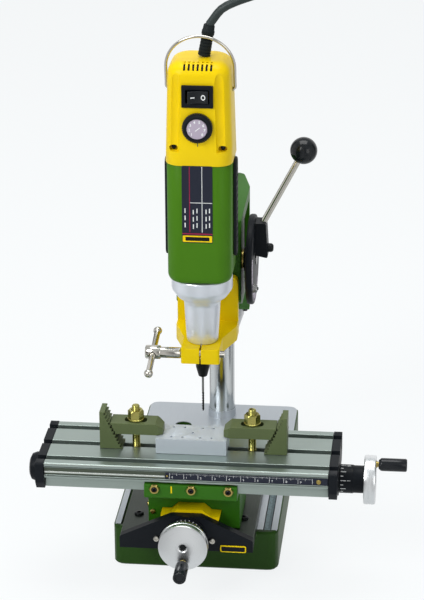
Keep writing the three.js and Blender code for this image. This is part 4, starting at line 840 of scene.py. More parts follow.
@dataclass
class MainsCord:
    """The cord from the strain relief over to the right, down to the bench, wound, and its plug."""

    radius: float = 3.0
    length: float = 1.8
    exit: Point = (6.311, -50.0, 390.749)
    route: tuple[Point, ...] = (
        (14.6, -49.8, 401.6), (22.5, -49, 406.0), (33, -47.5, 409.8), (47, -45.5, 414.0), (64, -43, 418.6),
        (84, -40, 423.0), (105, -37, 426.2), (127, -33.5, 426.6), (148, -30, 423.4), (167, -26.5, 416.0),
        (184, -23, 403.0), (198.5, -20, 384.0), (209, -17.5, 359.0), (216, -15.5, 328.0),
        (220.5, -14, 292.0), (223.5, -12.5, 252.0), (225.4, -11, 210.0), (226.4, -9.4, 168.0),
        (226.9, -7.8, 128.0), (227, -6.3, 94.0), (227, -5.3, 66.0), (227, -3.3, 45.1), (227, 1.7, 33.0),
        (227, 9.6, 22.6), (227, 16.3, 17.0), (227, 23.1, 13.1),
    )
    coil_centre: Pair = (264.0, 45.0)
    top_turns: Pair = (37.1, 31.05)
    low_turns: tuple[float, float, float] = (27.95, 34.0, 40.05)
    levels: Pair = (9.05, 3.0)
    plug_height: float = 6.95
    landing_height: float = 80.0

    def wound(self) -> list[Vector]:
        """The turns of the coil: two on top going in, then out again underneath."""
        outer, inner = self.top_turns
        first, second, third = self.low_turns
        high, low = self.levels
        keys = [(0.0, outer, high), (0.7, outer, high), (0.92, inner, high), (1.76, inner, high),
                (1.88, first, high - 1.2), (2.06, first, low), (3.1, first, low), (3.35, second, low),
                (4.3, second, low), (4.55, third, low), (5.5, third, low)]
        points = []
        steps = 240
        for i in range(steps + 1):
            turn = keys[-1][0] * i / steps
            for (t0, r0, z0), (t1, r1, z1) in zip(keys, keys[1:]):
                if t0 <= turn <= t1:
                    share = (turn - t0) / (t1 - t0)
                    share = share * share * (3 - 2 * share)
                    radius, z = r0 + (r1 - r0) * share, z0 + (z1 - z0) * share
            angle = math.pi - 2 * math.pi * turn
            points.append(Vector((*polar(self.coil_centre, radius, angle), z)))
        return points

    def build(self) -> None:
        turns = self.wound()
        start = turns[0]
        bend = 50.0
        landing = []
        for angle in (math.radians(d) for d in (0, 15, 30, 45, 55, 64, 73, 82)):
            y = self.coil_centre[1] - bend * math.cos(angle)
            landing.append(Vector((start.x, y, start.z + bend - bend * math.sin(angle))))
        falling = [Vector(p) for p in self.route if p[2] > self.landing_height]
        tail = [Vector((self.coil_centre[0] + self.low_turns[2], y, z)) for y, z in
                ((37.0, 3.5), (29.0, 5.4), (21.0, self.plug_height), (16.0, self.plug_height))]
        path = smooth_path([self.exit, *falling, *landing], 4.0)
        path += turns
        path += smooth_path([turns[-1], *tail], 4.0)[1:]
        log.info("cord path %.1f mm", path_length(path))
        shape = Shape().tube(path, self.radius, 14)
        piece = shape.piece("mains_cord", "", CORD_RUBBER, ["cord", "cord_coil"])
        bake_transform(piece)
        plug = self.plug()
        path_length(path) * MM
        [list(p * MM) for p in path]
        self.relief()

    def plug(self) -> list[bpy.types.Object]:
        """The flat two-pin plug with its ribbed boot and two pins."""
        low, high = node_box("cord_plug")
        x = (low.x + high.x) / 2
        z = self.plug_height
        rings = []
        tall = high.z - low.z
        for y, width, height in ((1.5, 17, 9.5), (0, 20, 11.5), (-4, 24, 13.2), (-14, 33, tall),
                                 (-24, 35.3, tall), (-33, 35.3, tall), (-35.5, 34.4, 13), (-36, 33, 12)):
            ring = rounded_ring(width, height, 5.2, 6)
            rings.append([Vector((x + u, y, z + v)) for u, v in ring])
        body = Shape().loops(rings).piece("plug_body", "head", BLACK, ["cord_plug"])
        boot = [(0.0, 20.0), (3.5, 20.0)]
        for n in range(6):
            at = 20 - n * 3.1
            rib = 3.9 + n * 0.12
            boot += [(rib, at - 0.4), (rib, at - 1.9), (3.4, at - 2.3), (3.4, at - 2.9)]
        sleeve = Shape().turn([*boot, (4.6, 1.0), (0.0, 1.0)], Axis.Y, (x, z), 28)
        boot_piece = sleeve.piece("plug_boot", "head", RUBBER)
        pins = Shape()
        for side in (-1, 1):
            pins.turn([(0, -55.0), (1.2, -55.0), (1.9, -53.8), (2.0, -45), (2.0, -35.0), (0, -35.0)],
                      Axis.Y, (x + side * 9.5, z), 24)
        return [body, boot_piece, pins.piece("plug_pins", "head", NICKEL)]

    def relief(self) -> None:
        """The ribbed sleeve where the cord leaves the cap."""
        base = Vector((2.3, -50.0, 368.0))
        lean = Matrix.Rotation(math.radians(10), 4, "Y")
        profile = [(0.0, 1.0), (4.35, 1.0)]
        for n in range(6):
            at = 1.6 + n * 2.35
            radius = 4.35 - 0.05 * n
            groove = radius - 0.55
            profile += [(radius, at), (radius, at + 1.5), (groove, at + 1.75), (groove, at + 2.15)]
        profile += [(4.35, 15.9), (4.5, 16.4), (4.5, 18.6), (4.1, 19.2), (3.9, 22.4), (3.5, 23.0),
                    (0.0, 23.0)]
        sleeve = Shape().turn(profile, segments=40).moved(Matrix.Translation(base) @ lean)
        sleeve.piece("cord_relief", "feed_slide", RUBBER, ["strain_relief"])


# ---------------------------------------------------------------- stand


@dataclass
class Stand:
    """Base, column, bed, rail and front plate, with the rulers and screws on them."""

    column_radius: float = 10.0
    column_y: float = 90.0
    bed_x: float = -3.0
    plate_screws: tuple[Pair, ...] = ((-24.1, 39.5), (15.8, 39.5))
    badge: Pair = (30.6, 33.6)

    def castings(self) -> None:
        """Castings and plates with rounded edges."""
        Shape().copy("base").piece("base_casting", "stand", BASE_GREEN_SHADED, ["base"], 0.8, 3, 25)
        Shape().copy("bed_plate").piece("bed", "stand", BED_STEEL, ["bed_plate"], 0.4)
        Shape().copy("y_rail").piece("rail", "stand", YELLOW, ["y_rail"], 0.5)
        Shape().copy("front_plate").piece("apron_plate", "stand", BLACK, ["front_plate"], 1.1, 1)

    def column(self) -> None:
        """The polished column."""
        low, high = node_box("column")
        r = self.column_radius
        profile = [(0, low.z), (r - 1, low.z), (r, low.z + 1), (r, high.z - 1.3), (r - 0.35, high.z - 0.5),
                   (r - 1.2, high.z), (0, high.z)]
        bar = Shape().turn(profile, Axis.Z, (0, self.column_y), 128)
        bar.piece("column_bar", "stand", CHROME, ["column"])

    def ruler(self) -> None:
        """The ruler in the base's right channel, with black edges and ticks."""
        low, high = node_box("base_ruler")
        middle = (low.x + high.x) / 2
        Shape().block((low.x, high.x), (low.y, high.y), (low.z, high.z - 0.3)) \
            .piece("base_ruler_strip", "stand", DARK_INK, ["base_ruler"], 0.1)
        edge = 0.5
        face = Shape().block((low.x + edge, high.x - edge), (low.y + edge, high.y - edge),
                             (high.z - 0.3, high.z - 0.1))
        face.piece("base_ruler_face", "stand", RULER_FACE)
        ticks = Shape()
        right = high.x - 0.6
        for n in range(int(high.y - low.y) - 3):
            long = 3.6 if n % 10 == 0 else 2.4 if n % 5 == 0 else 1.6
            y = low.y + 2 + n
            ticks.block((right - long, right), (y - 0.09, y + 0.09), (high.z - 0.12, high.z - 0.05))
            if n % 10 == 0:
                spot = Matrix.Translation((middle - 1.4, y + 1.7, high.z - 0.08))
                ticks.text(str(n // 10), 1.7, spot, 0.02)
        ticks.piece("base_ruler_ticks", "stand", DARK_INK)

    def fittings(self) -> None:
        """Plate screws, bare badge and bed screws."""
        face = node_box("front_plate")[0].y + 1.5
        for n, (x, z) in enumerate(self.plate_screws):
            screw_head(2.3, 1.7, Vector((x, face, z)), Vector((0, -1, 0))) \
                .piece(f"plate_screw_{n}", "stand", NICKEL)
        x, z = self.badge
        frame = [(x + u, z + v) for u, v in rounded_ring(18.5, 5.2, 1.2, 4)]
        Shape().prism(frame, (face - 0.7, face + 0.2), Axis.Y) \
            .piece("badge_frame", "stand", YELLOW, bevel=0.2)
        field_ring = [(x + u, z + v) for u, v in rounded_ring(16.8, 3.6, 0.7, 4)]
        Shape().prism(field_ring, (face - 0.8, face - 0.5), Axis.Y).piece("badge_field", "stand", BLACK)
        top = node_box("bed_plate")[1].z
        for name, side in SIDES:
            screw_head(3.4, 1.6, Vector((self.bed_x + side * 38, -106, top)), Vector((0, 0, 1)), 1.6) \
                .piece(f"bed_screw_{name}", "stand", OXIDE)

    def build(self) -> None:
        """Makes the stand."""
        self.castings()
        self.column()
        self.ruler()
        self.fittings()


# ---------------------------------------------------------------- leadscrews and wheels


@dataclass
class Drive:
    """A leadscrew with dial, handwheel and grip along one axis."""

    prefix: str
    body: str
    crank: str
    axis: Axis
    outward: int
    grip_turn: float
    flange: bool = False
    wheel_radius: float = 17.5
    dial_radius: float = 10.2
    grip_radius: float = 4.65
    grip_reach: float = 12.3
    centre: Pair = field(init=False)

    def __post_init__(self) -> None:
        """Takes the axis from the leadscrew's box."""
        low, high = node_box(f"{self.prefix}_leadscrew")
        middle = [c for n, c in enumerate((low + high) / 2) if n != self.axis.value]
        self.centre = (middle[0], middle[1])

    def span(self, part: str) -> Pair:
        """A node's near and far place along the axis, from the bearing outward."""
        low, high = node_box(f"{self.prefix}_{part}")
        ends = low[self.axis.value], high[self.axis.value]
        return ends if self.outward > 0 else (ends[1], ends[0])

    def wheel(self) -> None:
        """The handwheel with its faced rim and the sunk bore of its screw."""
        near = self.span("handwheel")[0]
        out = self.outward
        grip_near = self.span("grip")[0]
        face = grip_near - out * 1.2
        r = self.wheel_radius
        profile = [(3.3, near), (r - 1.1, near), (r - 0.3, near + out * 0.35), (r, near + out * 1.1),
                   (r, near + out * 3.2), (r - 0.25, near + out * 3.4), (r - 0.25, near + out * 3.9),
                   (r, near + out * 4.1), (r, face - out * 1.2), (r - 0.35, face - out * 0.4),
                   (r - 1.2, face), (3.4, face), (2.6, face - out * 0.8), (2.6, face - out * 2.6),
                   (1.6, face - out * 2.6), (1.6, near)]
        metal = Turned("aluminium", (0.86, 0.88, 0.89), (0.77, 0.79, 0.8), self.axis, self.centre,
                       0.3, 0.012)
        Shape().turn(profile, self.axis, self.centre, 96) \
            .piece(f"{self.prefix}_wheel_disc", self.body, metal, [f"{self.prefix}_handwheel"])
        low, high = face - out * 2.5, face - out * 1.7
        Shape().turn([(0, low), (2.5, low), (2.4, high), (0, high)], self.axis, self.centre, 6) \
            .piece(f"{self.prefix}_wheel_screw", self.body, OXIDE)

    def grip(self) -> None:
        """The turning grip on its brass neck."""
        near, far = self.span("grip")
        out = self.outward
        at = polar(self.centre, self.grip_reach, self.grip_turn)
        r = self.grip_radius
        profile = [(0, near + out * 0.4), (2.6, near + out * 0.4), (3.2, near + out * 0.5),
                   (r - 0.1, near + out * 2.2), (r, near + out * 2.8), (r, far - out * 1.0),
                   (r - 0.4, far - out * 0.3), (r - 0.9, far), (2.6, far), (2.4, far - out * 0.5),
                   (0, far - out * 0.5)]
        Shape().turn(profile, self.axis, at, 48) \
            .piece(f"{self.prefix}_grip_sleeve", self.crank, BLACK_GLOSS, [f"{self.prefix}_grip"])
        neck = [(radius, near + out * along) for radius, along in
                ((0, -1.3), (2.5, -1.3), (2.5, -0.5), (1.9, -0.3), (1.9, 0.35), (0, 0.35))]
        Shape().turn(neck, self.axis, at, 32).piece(f"{self.prefix}_grip_neck", self.body, BRASS)

    def dial(self) -> None:
        """The two-part dial with ticks and figures, and the stop ring of the other part."""
        near, far = self.span("dial")
        out = self.outward
        r = self.dial_radius
        step = far - out * abs(far - near) * 0.42
        profile = [(3.3, near), (r, near), (r, step - out * 0.5), (r - 0.3, step - out * 0.2),
                   (r - 0.3, step + out * 0.2), (r - 0.4, step + out * 0.4), (r - 0.4, far - out * 0.4),
                   (r - 0.8, far), (3.3, far)]
        if self.flange:
            profile[1:2] = [(r + 3.0, near), (r + 3.2, near + out * 0.2), (r + 3.2, near + out * 1.2),
                            (r + 3.0, near + out * 1.4), (r, near + out * 1.4)]
        Shape().turn(profile, self.axis, self.centre, 80) \
            .piece(f"{self.prefix}_dial_drum", self.body, BLACK, [f"{self.prefix}_dial"])
        ticks = Shape()
        along = self.axis.place(out, 0, 0)
        centre = self.axis.place(near, *self.centre)
        count = 28 if self.flange else 20
        for n in range(count):
            turn = 2 * math.pi * n / count + self.grip_turn
            long = 1.9 if n % 2 == 0 else 1.0
            across = self.axis.place(0, math.cos(turn), math.sin(turn))
            side = along.cross(across)
            if self.flange:
                spot = centre + across * (r + 3.1 - long / 2) + along * 1.47
                frame = Matrix((across, side, along)).transposed().to_4x4()
            else:
                spot = centre + across * (r + 0.01) + along * (0.8 + long)
                long *= 2
                frame = Matrix((along, side, across)).transposed().to_4x4()
            ticks.slab(Matrix.Translation(spot) @ frame, (long, 0.42, 0.06))
            if n % 4 == 0 and not self.flange:
                spot = centre + across * (r + 0.01) + along * 6.4
                frame = Matrix((-side, along, across)).transposed().to_4x4()
                ticks.text(str(n // 4), 3.6, Matrix.Translation(spot) @ frame, 0.03)
        ticks.piece(f"{self.prefix}_dial_ticks", self.body, INK)

    def screw(self) -> None:
        """The threaded leadscrew."""
        low, high = node_box(f"{self.prefix}_leadscrew")
        n = self.axis.value
        profile = threaded(3.0, low[n], high[n], 1.0, 0.35)
        Shape().turn(profile, self.axis, self.centre, 24) \
            .piece(f"{self.prefix}_screw_thread", self.body, STEEL, [f"{self.prefix}_leadscrew"])

    def build(self) -> None:
        """Makes the drive."""
        self.wheel()
        self.grip()
        self.dial()
        self.screw()


# ---------------------------------------------------------------- cross slide and table


@dataclass
class CrossSlide:
    """Carriage and table with their gibs, rulers, caps and slots."""

    gib_x: tuple[float, float, float] = (-24.3, 1.6, 27.7)
    side_y: tuple[float, float, float] = (-112.0, -96.0, -82.0)
    side_height: float = 52.0

    def carriage(self) -> None:
        """The carriage casting with its gib nuts and index line."""
        Shape().copy("carriage").piece("carriage_casting", "cross_slide", GREEN, ["carriage"], 0.5, 3)
        low, high = node_box("carriage")
        z = high.z - 3.0
        front = Vector((0, -1, 0))
        left = Vector((-1, 0, 0))
        for n, x in enumerate(self.gib_x):
            seat = Vector((x, low.y, z))
            hexagon_nut(6.6, 2.2, 1.9, seat, front).piece(f"gib_nut_{n}", "cross_slide", BRASS)
            screw_head(1.75, 2.6, seat, front, 0.95).piece(f"gib_screw_{n}", "cross_slide", OXIDE)
        Shape().block((-12.9, -12.0), (low.y - 0.12, low.y + 0.2), (high.z - 6.2, high.z - 0.9)) \
            .piece("index_line", "cross_slide", YELLOW)
        for n, y in enumerate(self.side_y):
            seat = Vector((low.x, y, self.side_height))
            hexagon_nut(5.0, 1.8, 1.7, seat, left).piece(f"side_nut_{n}", "cross_slide", BRASS)
            screw_head(1.5, 2.6, seat, left, 0.85).piece(f"side_screw_{n}", "cross_slide", OXIDE)
        screw_head(1.9, 1.2, Vector((-28.6, -124.0, self.side_height)), front) \
            .piece("slide_lock_screw", "cross_slide", BRASS)
        for node in ("y_nut", "x_nut"):
            Shape().copy(node).piece(f"{node}_block", "cross_slide", BRASS, [node], 0.3)

    def table(self) -> None:
        """The slotted table, its ruler, its rib and its end caps, with painted shade in the ruler's groove
        and painted highlights on the rib and along the front's edges.
        """
        Shape().copy("table").piece("table_top", "work_table", TABLE_METAL, ["table"], 0.35, 3)
        low, high = node_box("table")
        ruler_low, ruler_high = node_box("table_ruler")
        # A dark strip in the groove behind the ruler: painted shade.
        groove = Shape().block((low.x + 0.2, high.x - 0.2), (ruler_high.y + 0.02, ruler_high.y + 0.14),
                               (ruler_low.z - 0.1, ruler_high.z + 0.1))
        groove.piece("table_groove_shade", "work_table", GROOVE_SHADE_METAL)
        # The rib in a lighter metal: painted highlight.
        Shape().block((low.x + 0.2, ruler_low.x - 0.4), (ruler_low.y + 0.2, ruler_high.y + 0.1),
                      (ruler_low.z + 1.1, ruler_low.z + 2.5)) \
            .piece("table_rib_highlight", "work_table", HIGHLIGHT_METAL, bevel=0.3)
        # Thin bright strips along the table's front: painted highlights on its edges.
        lines = Shape()
        edge = low.z + (high.z - low.z) * 0.965
        for z, tall in ((edge, 0.5), (ruler_high.z + 0.9, 0.45), (ruler_low.z - 1.0, 0.45)):
            lines.block((low.x + 0.1, high.x - 0.1), (low.y, low.y + 0.3), (z - tall / 2, z + tall / 2))
        lines.piece("table_edge_highlights", "work_table", HIGHLIGHT_METAL)
        for side, _ in SIDES:
            Shape().copy(f"table_cap_{side}") \
                .piece(f"end_cap_{side}", "work_table", BLACK, [f"table_cap_{side}"], 0.7, 3)
        self.ruler(ruler_low, ruler_high)

    def ruler(self, low: Vector, high: Vector) -> None:
        """The black ruler on the table's front, with ticks, figures and a brass screw."""
        Shape().block((low.x, high.x), (low.y, high.y), (low.z, high.z)) \
            .piece("table_ruler_strip", "work_table", NAVY, ["table_ruler"], 0.15)
        ticks = Shape()
        front = low.y
        top = high.z - 0.3
        upright = Matrix.Rotation(math.pi / 2, 4, "X")
        for n in range(101):
            long = 4.2 if n % 10 == 0 else 1.7 if n % 5 == 0 else 1.0
            x = low.x + 3 + n
            half = 0.11 if n % 5 == 0 else 0.06
            ticks.block((x - half, x + half), (front - 0.05, front + 0.05), (top - long, top))
            if n % 10 == 0 and n < 100:
                spot = Matrix.Translation((x + 1.9, front, low.z + 1.7))
                ticks.text(str(n // 10), 2.1, spot @ upright, 0.04)
        ticks.piece("table_ruler_ticks", "work_table", INK)
        for n, x in enumerate((low.x + 1.4, high.x - 6.4)):
            size = 1.7 if n else 0.7
            seat = Vector((x, front + 0.1, (low.z + high.z) / 2))
            screw_head(size, 0.9, seat, Vector((0, -1, 0))).piece(f"ruler_screw_{n}", "work_table", BRASS)

    def build(self) -> None:
        """Makes the cross slide and the table."""
        self.carriage()
        self.table()


@dataclass
class StepClamp:
    """One step clamp: strap, step block, tee bolt and nut."""

    side: str
    steps: int = 11
    step_width: float = 1.1
    top_width: float = 4.0

    def step_block(self, body: str) -> None:
        """The step block with its saw teeth."""
        low, high = node_box(f"{self.side}_step_block")
        sign = -1 if self.side == "left" else 1
        outer = low.x if sign < 0 else high.x
        rise = (high.z - low.z - 1) / self.steps
        outline = [(outer, low.z), (outer, high.z), (outer - sign * (self.top_width - 0.6), high.z)]
        for n in range(self.steps):
            tip = outer - sign * (self.top_width + n * self.step_width)
            top = high.z - n * rise
            outline += [(tip, top - 0.3), (tip + sign * 1.2, top - 1.1),
                        (tip + sign, top - rise + 0.02)]
        toe = outer - sign * (self.top_width + self.steps * self.step_width)
        outline += [(toe, low.z + 0.95), (toe, low.z)]
        Shape().prism(outline, (low.y, high.y), Axis.Y) \
            .piece(f"{self.side}_step_block_steel", body, OLIVE, [f"{self.side}_step_block"], 0.12, 1, 25)

    def build(self) -> None:
        """Makes the clamp's four pieces."""
        body = f"{self.side}_clamp"
        Shape().copy(f"{self.side}_strap") \
            .piece(f"{self.side}_strap_steel", body, OLIVE, [f"{self.side}_strap"], 0.35)
        self.step_block(body)
        low, high = node_box(f"{self.side}_tee_bolt")
        centre = ((low.x + high.x) / 2, (low.y + high.y) / 2)
        bolt = Shape().turn(threaded(2.8, low.z + 4.2, high.z - 0.6, 1.0, 0.28), Axis.Z, centre, 32)
        bolt.turn([(0, high.z - 0.8), (2.5, high.z - 0.8), (2.2, high.z - 0.2), (1.2, high.z), (0, high.z)],
                  Axis.Z, centre, 32)
        bolt.block((low.x, high.x), (low.y, high.y), (low.z, low.z + 4.3))
        bolt.piece(f"{self.side}_stud", body, ZINC, [f"{self.side}_tee_bolt"])
        low, high = node_box(f"{self.side}_nut")
        hexagon_nut(10.0, high.z - low.z - 1.4, 2.95, Vector((*centre, low.z)), Vector((0, 0, 1)), 6.0) \
            .piece(f"{self.side}_flange_nut", body, ZINC, [f"{self.side}_nut"])


@dataclass
class Workpiece:
    """The drilled aluminium block."""

    def build(self) -> None:
        """Makes the block with its shallow holes."""
        Shape().copy("workpiece").piece("work_block", "work_table", WORK_METAL, ["workpiece"], 0.2)


# ---------------------------------------------------------------- head and lever


@dataclass
class Head:
    """The head casting on the column, its collar and its clamp screw."""

    column: Pair = (0.0, 90.0)
    collar_height: float = 123.0
    spring_post: Pair = (14.0, 34.0)
    pinion: Pair = (7.0, 196.5)

    def build(self) -> None:
        """Makes the head and the depth collar."""
        Shape().copy("head_housing").piece("head_casting", "head", GREEN, ["head_housing"], 0.7, 3, 40)
        Shape().copy("head_clamp_screw").piece("head_bolt", "head", OXIDE, ["head_clamp_screw"], 0.3)
        low, high = node_box("height_collar")
        bore = 10.25
        profile = [(bore, low.z), (11.0, low.z), (11.3, low.z + 0.5), (17.2, 117.6), (17.5, 118.4),
                   (17.5, high.z - 1), (17.2, high.z - 0.3), (16.5, high.z), (bore, high.z)]
        metal = Turned("cast_aluminium", (0.6, 0.61, 0.62), (0.52, 0.53, 0.54), Axis.Z, self.column,
                       0.3, 0.012)
        Shape().turn(profile, Axis.Z, self.column, 96) \
            .piece("depth_cone", "depth_collar", metal, ["height_collar"])
        screw_head(2.6, 3.0, Vector((17.4, self.column[1], self.collar_height)), Vector((1, 0, 0)), 1.4) \
            .piece("collar_screw", "depth_collar", OXIDE)
        self.spring()

    def spring(self) -> None:
        """The feed's return spring and its post inside the head, and the pinion's brass bush."""
        path = [Vector((*polar(self.spring_post, 3.2, t), 173 + 1.15 * t))
                for t in (0.3 * n for n in range(110))]
        Shape().tube(path, 0.6, 8).piece("return_spring", "head", STEEL)
        Shape().turn([(0, 168.5), (1.6, 168.5), (1.6, 224), (0, 224)], Axis.Z, self.spring_post, 24) \
            .piece("spring_post", "head", ZINC)
        bush = [(4.4, 20.8), (7.2, 20.8), (7.2, 24.9), (6.8, 25.3), (4.4, 25.3)]
        Shape().turn(bush, Axis.X, self.pinion, 40).piece("pinion_bush", "head", BRASS)


@dataclass
class Lever:
    """Pinion, disc with its scale, hub, rod and ball."""

    centre: Pair = (7.0, 196.5)
    radius: float = 33.5
    ball: float = 10.0

    def disc(self) -> None:
        """The dished disc with a scale arc, a stop screw and its nut."""
        low, high = node_box("lever_disc")
        outer = high.x
        inner = outer - 5.0
        r = self.radius
        profile = [(4.2, low.x), (9, low.x), (9, inner), (r - 1.6, inner), (r - 0.4, inner + 0.5),
                   (r, inner + 1.6), (r, outer - 1.2), (r - 0.5, outer - 0.3), (r - 1.3, outer), (4.2, outer)]
        Shape().turn(profile, Axis.X, self.centre, 128).piece("lever_plate", "lever", BLACK, ["lever_disc"])
        turns = [math.radians(-200 + n * 5) for n in range(31)]
        band = [polar(self.centre, r - 2.2, t) for t in turns]
        band += [polar(self.centre, r - 9.0, t) for t in reversed(turns)]
        Shape().prism(band, (outer - 0.1, outer + 0.12), Axis.X).piece("lever_scale", "lever", LILAC)
        ticks = Shape()
        for n in range(31):
            turn = math.radians(-198 + n * 4.8)
            long = 4.0 if n % 5 == 0 else 2.0
            spot = Matrix.Translation((outer + 0.15, *polar(self.centre, r - 2.6 - long / 2, turn)))
            ticks.slab(spot @ Matrix.Rotation(turn, 4, "X"), (0.08, long, 0.35))
        ticks.piece("lever_scale_ticks", "lever", DARK_INK)
        spot = Vector((outer + 0.1, self.centre[0] - 24.5, self.centre[1] - 13.5))
        hexagon_nut(5.5, 2.0, 1.6, spot, Vector((1, 0, 0)), 3.4).piece("stop_nut", "lever", STEEL)
        screw_head(1.5, 4.2, spot, Vector((1, 0, 0)), 0.8).piece("stop_screw", "lever", OXIDE)

    def handle(self) -> None:
        """Hub, rod and ball."""
        Shape().copy("lever_hub").piece("lever_block", "lever", BLACK, ["lever_hub"], 0.5, 3)
        outer = node_box("lever_hub")[1].x
        screw_head(3.3, 3.9, Vector((outer - 0.2, self.centre[0], 206)), Vector((1, 0, 0)), 1.7) \
            .piece("hub_bolt", "lever", OXIDE)
        base = Vector((38.4, self.centre[0], 224))
        lean = Vector((29.3, 12, 54))
        reach = lean.length
        turn = lean.to_track_quat("Z", "Y").to_matrix().to_4x4()
        frame = Matrix.Translation(base) @ turn
        rod = [(0, -4), (2.4, -4), (2.4, reach - 8), (2.1, reach - 5), (0, reach - 5)]
        Shape().turn(rod, segments=40).moved(frame).piece("lever_bar", "lever", NICKEL, ["lever_rod"])
        ball = [(0, reach - 9.6), (2.8, reach - 9.55)]
        ball += [polar((0, reach), self.ball, math.radians(-74 + n * 164 / 24)) for n in range(1, 24)]
        ball.append((0, reach + self.ball))
        Shape().turn(ball, segments=64).moved(frame) \
            .piece("lever_knob", "lever", BLACK_GLOSS, ["lever_ball"])

    def build(self) -> None:
        """Makes the lever."""
        Shape().copy("pinion_shaft").piece("pinion", "lever", STEEL, ["pinion_shaft"])
        self.disc()
        self.handle()


# ---------------------------------------------------------------- feed arm


@dataclass
class FeedArm:
    """The yellow arm with its rack, clamp screw and tommy bar."""

    tilt: float = 10.0

    def build(self) -> None:
        """Makes the arm's pieces."""
        Shape().copy("feed_arm").piece("arm_casting", "feed_slide", YELLOW, ["feed_arm"], 0.6, 3, 40)
        Shape().copy("feed_rack").piece("rack", "feed_slide", STEEL, ["feed_rack"])
        low, high = node_box("clamp_screw")
        at = ((low.y + high.y) / 2, (low.z + high.z) / 2)
        head_in = low.x + 11.0
        shank_in = head_in + 14.6
        profile = [(0, low.x), (4.4, low.x), (5, low.x + 0.7), (5, head_in - 0.7), (4.6, head_in),
                   (4, head_in), (4, shank_in - 0.4), (3.6, shank_in), (2.5, shank_in),
                   (2.5, high.x - 0.5), (2.1, high.x), (0, high.x)]
        across = Matrix.Rotation(math.radians(self.tilt), 4, "X")
        middle = Vector((low.x + 5.5, *at))
        hole = Shape().turn([(0, -9), (2.5, -9), (2.5, 9), (0, 9)], Axis.Y, (0, 0), 40)
        hole.moved(Matrix.Translation(middle) @ across)
        Shape().turn(profile, Axis.X, at, 56).carve(hole) \
            .piece("arm_screw_bar", "arm_screw", NICKEL, ["clamp_screw"], 0.25, 2, 50)
        end, ball = 28.0, 3.2
        bar = [(0, -end - ball)]
        bar += [polar((0, -end), ball, math.radians(-90 + n * 130 / 12)) for n in range(1, 13)]
        bar.append((2.2, -end + 2.6))
        bar += [(r, -y) for r, y in reversed(bar)]
        Shape().turn(bar, Axis.Y, (0, 0), 40).moved(Matrix.Translation(middle) @ across) \
            .piece("tommy_rod", "arm_tommy", NICKEL, ["tommy_bar"])


# ---------------------------------------------------------------- hand-held machine


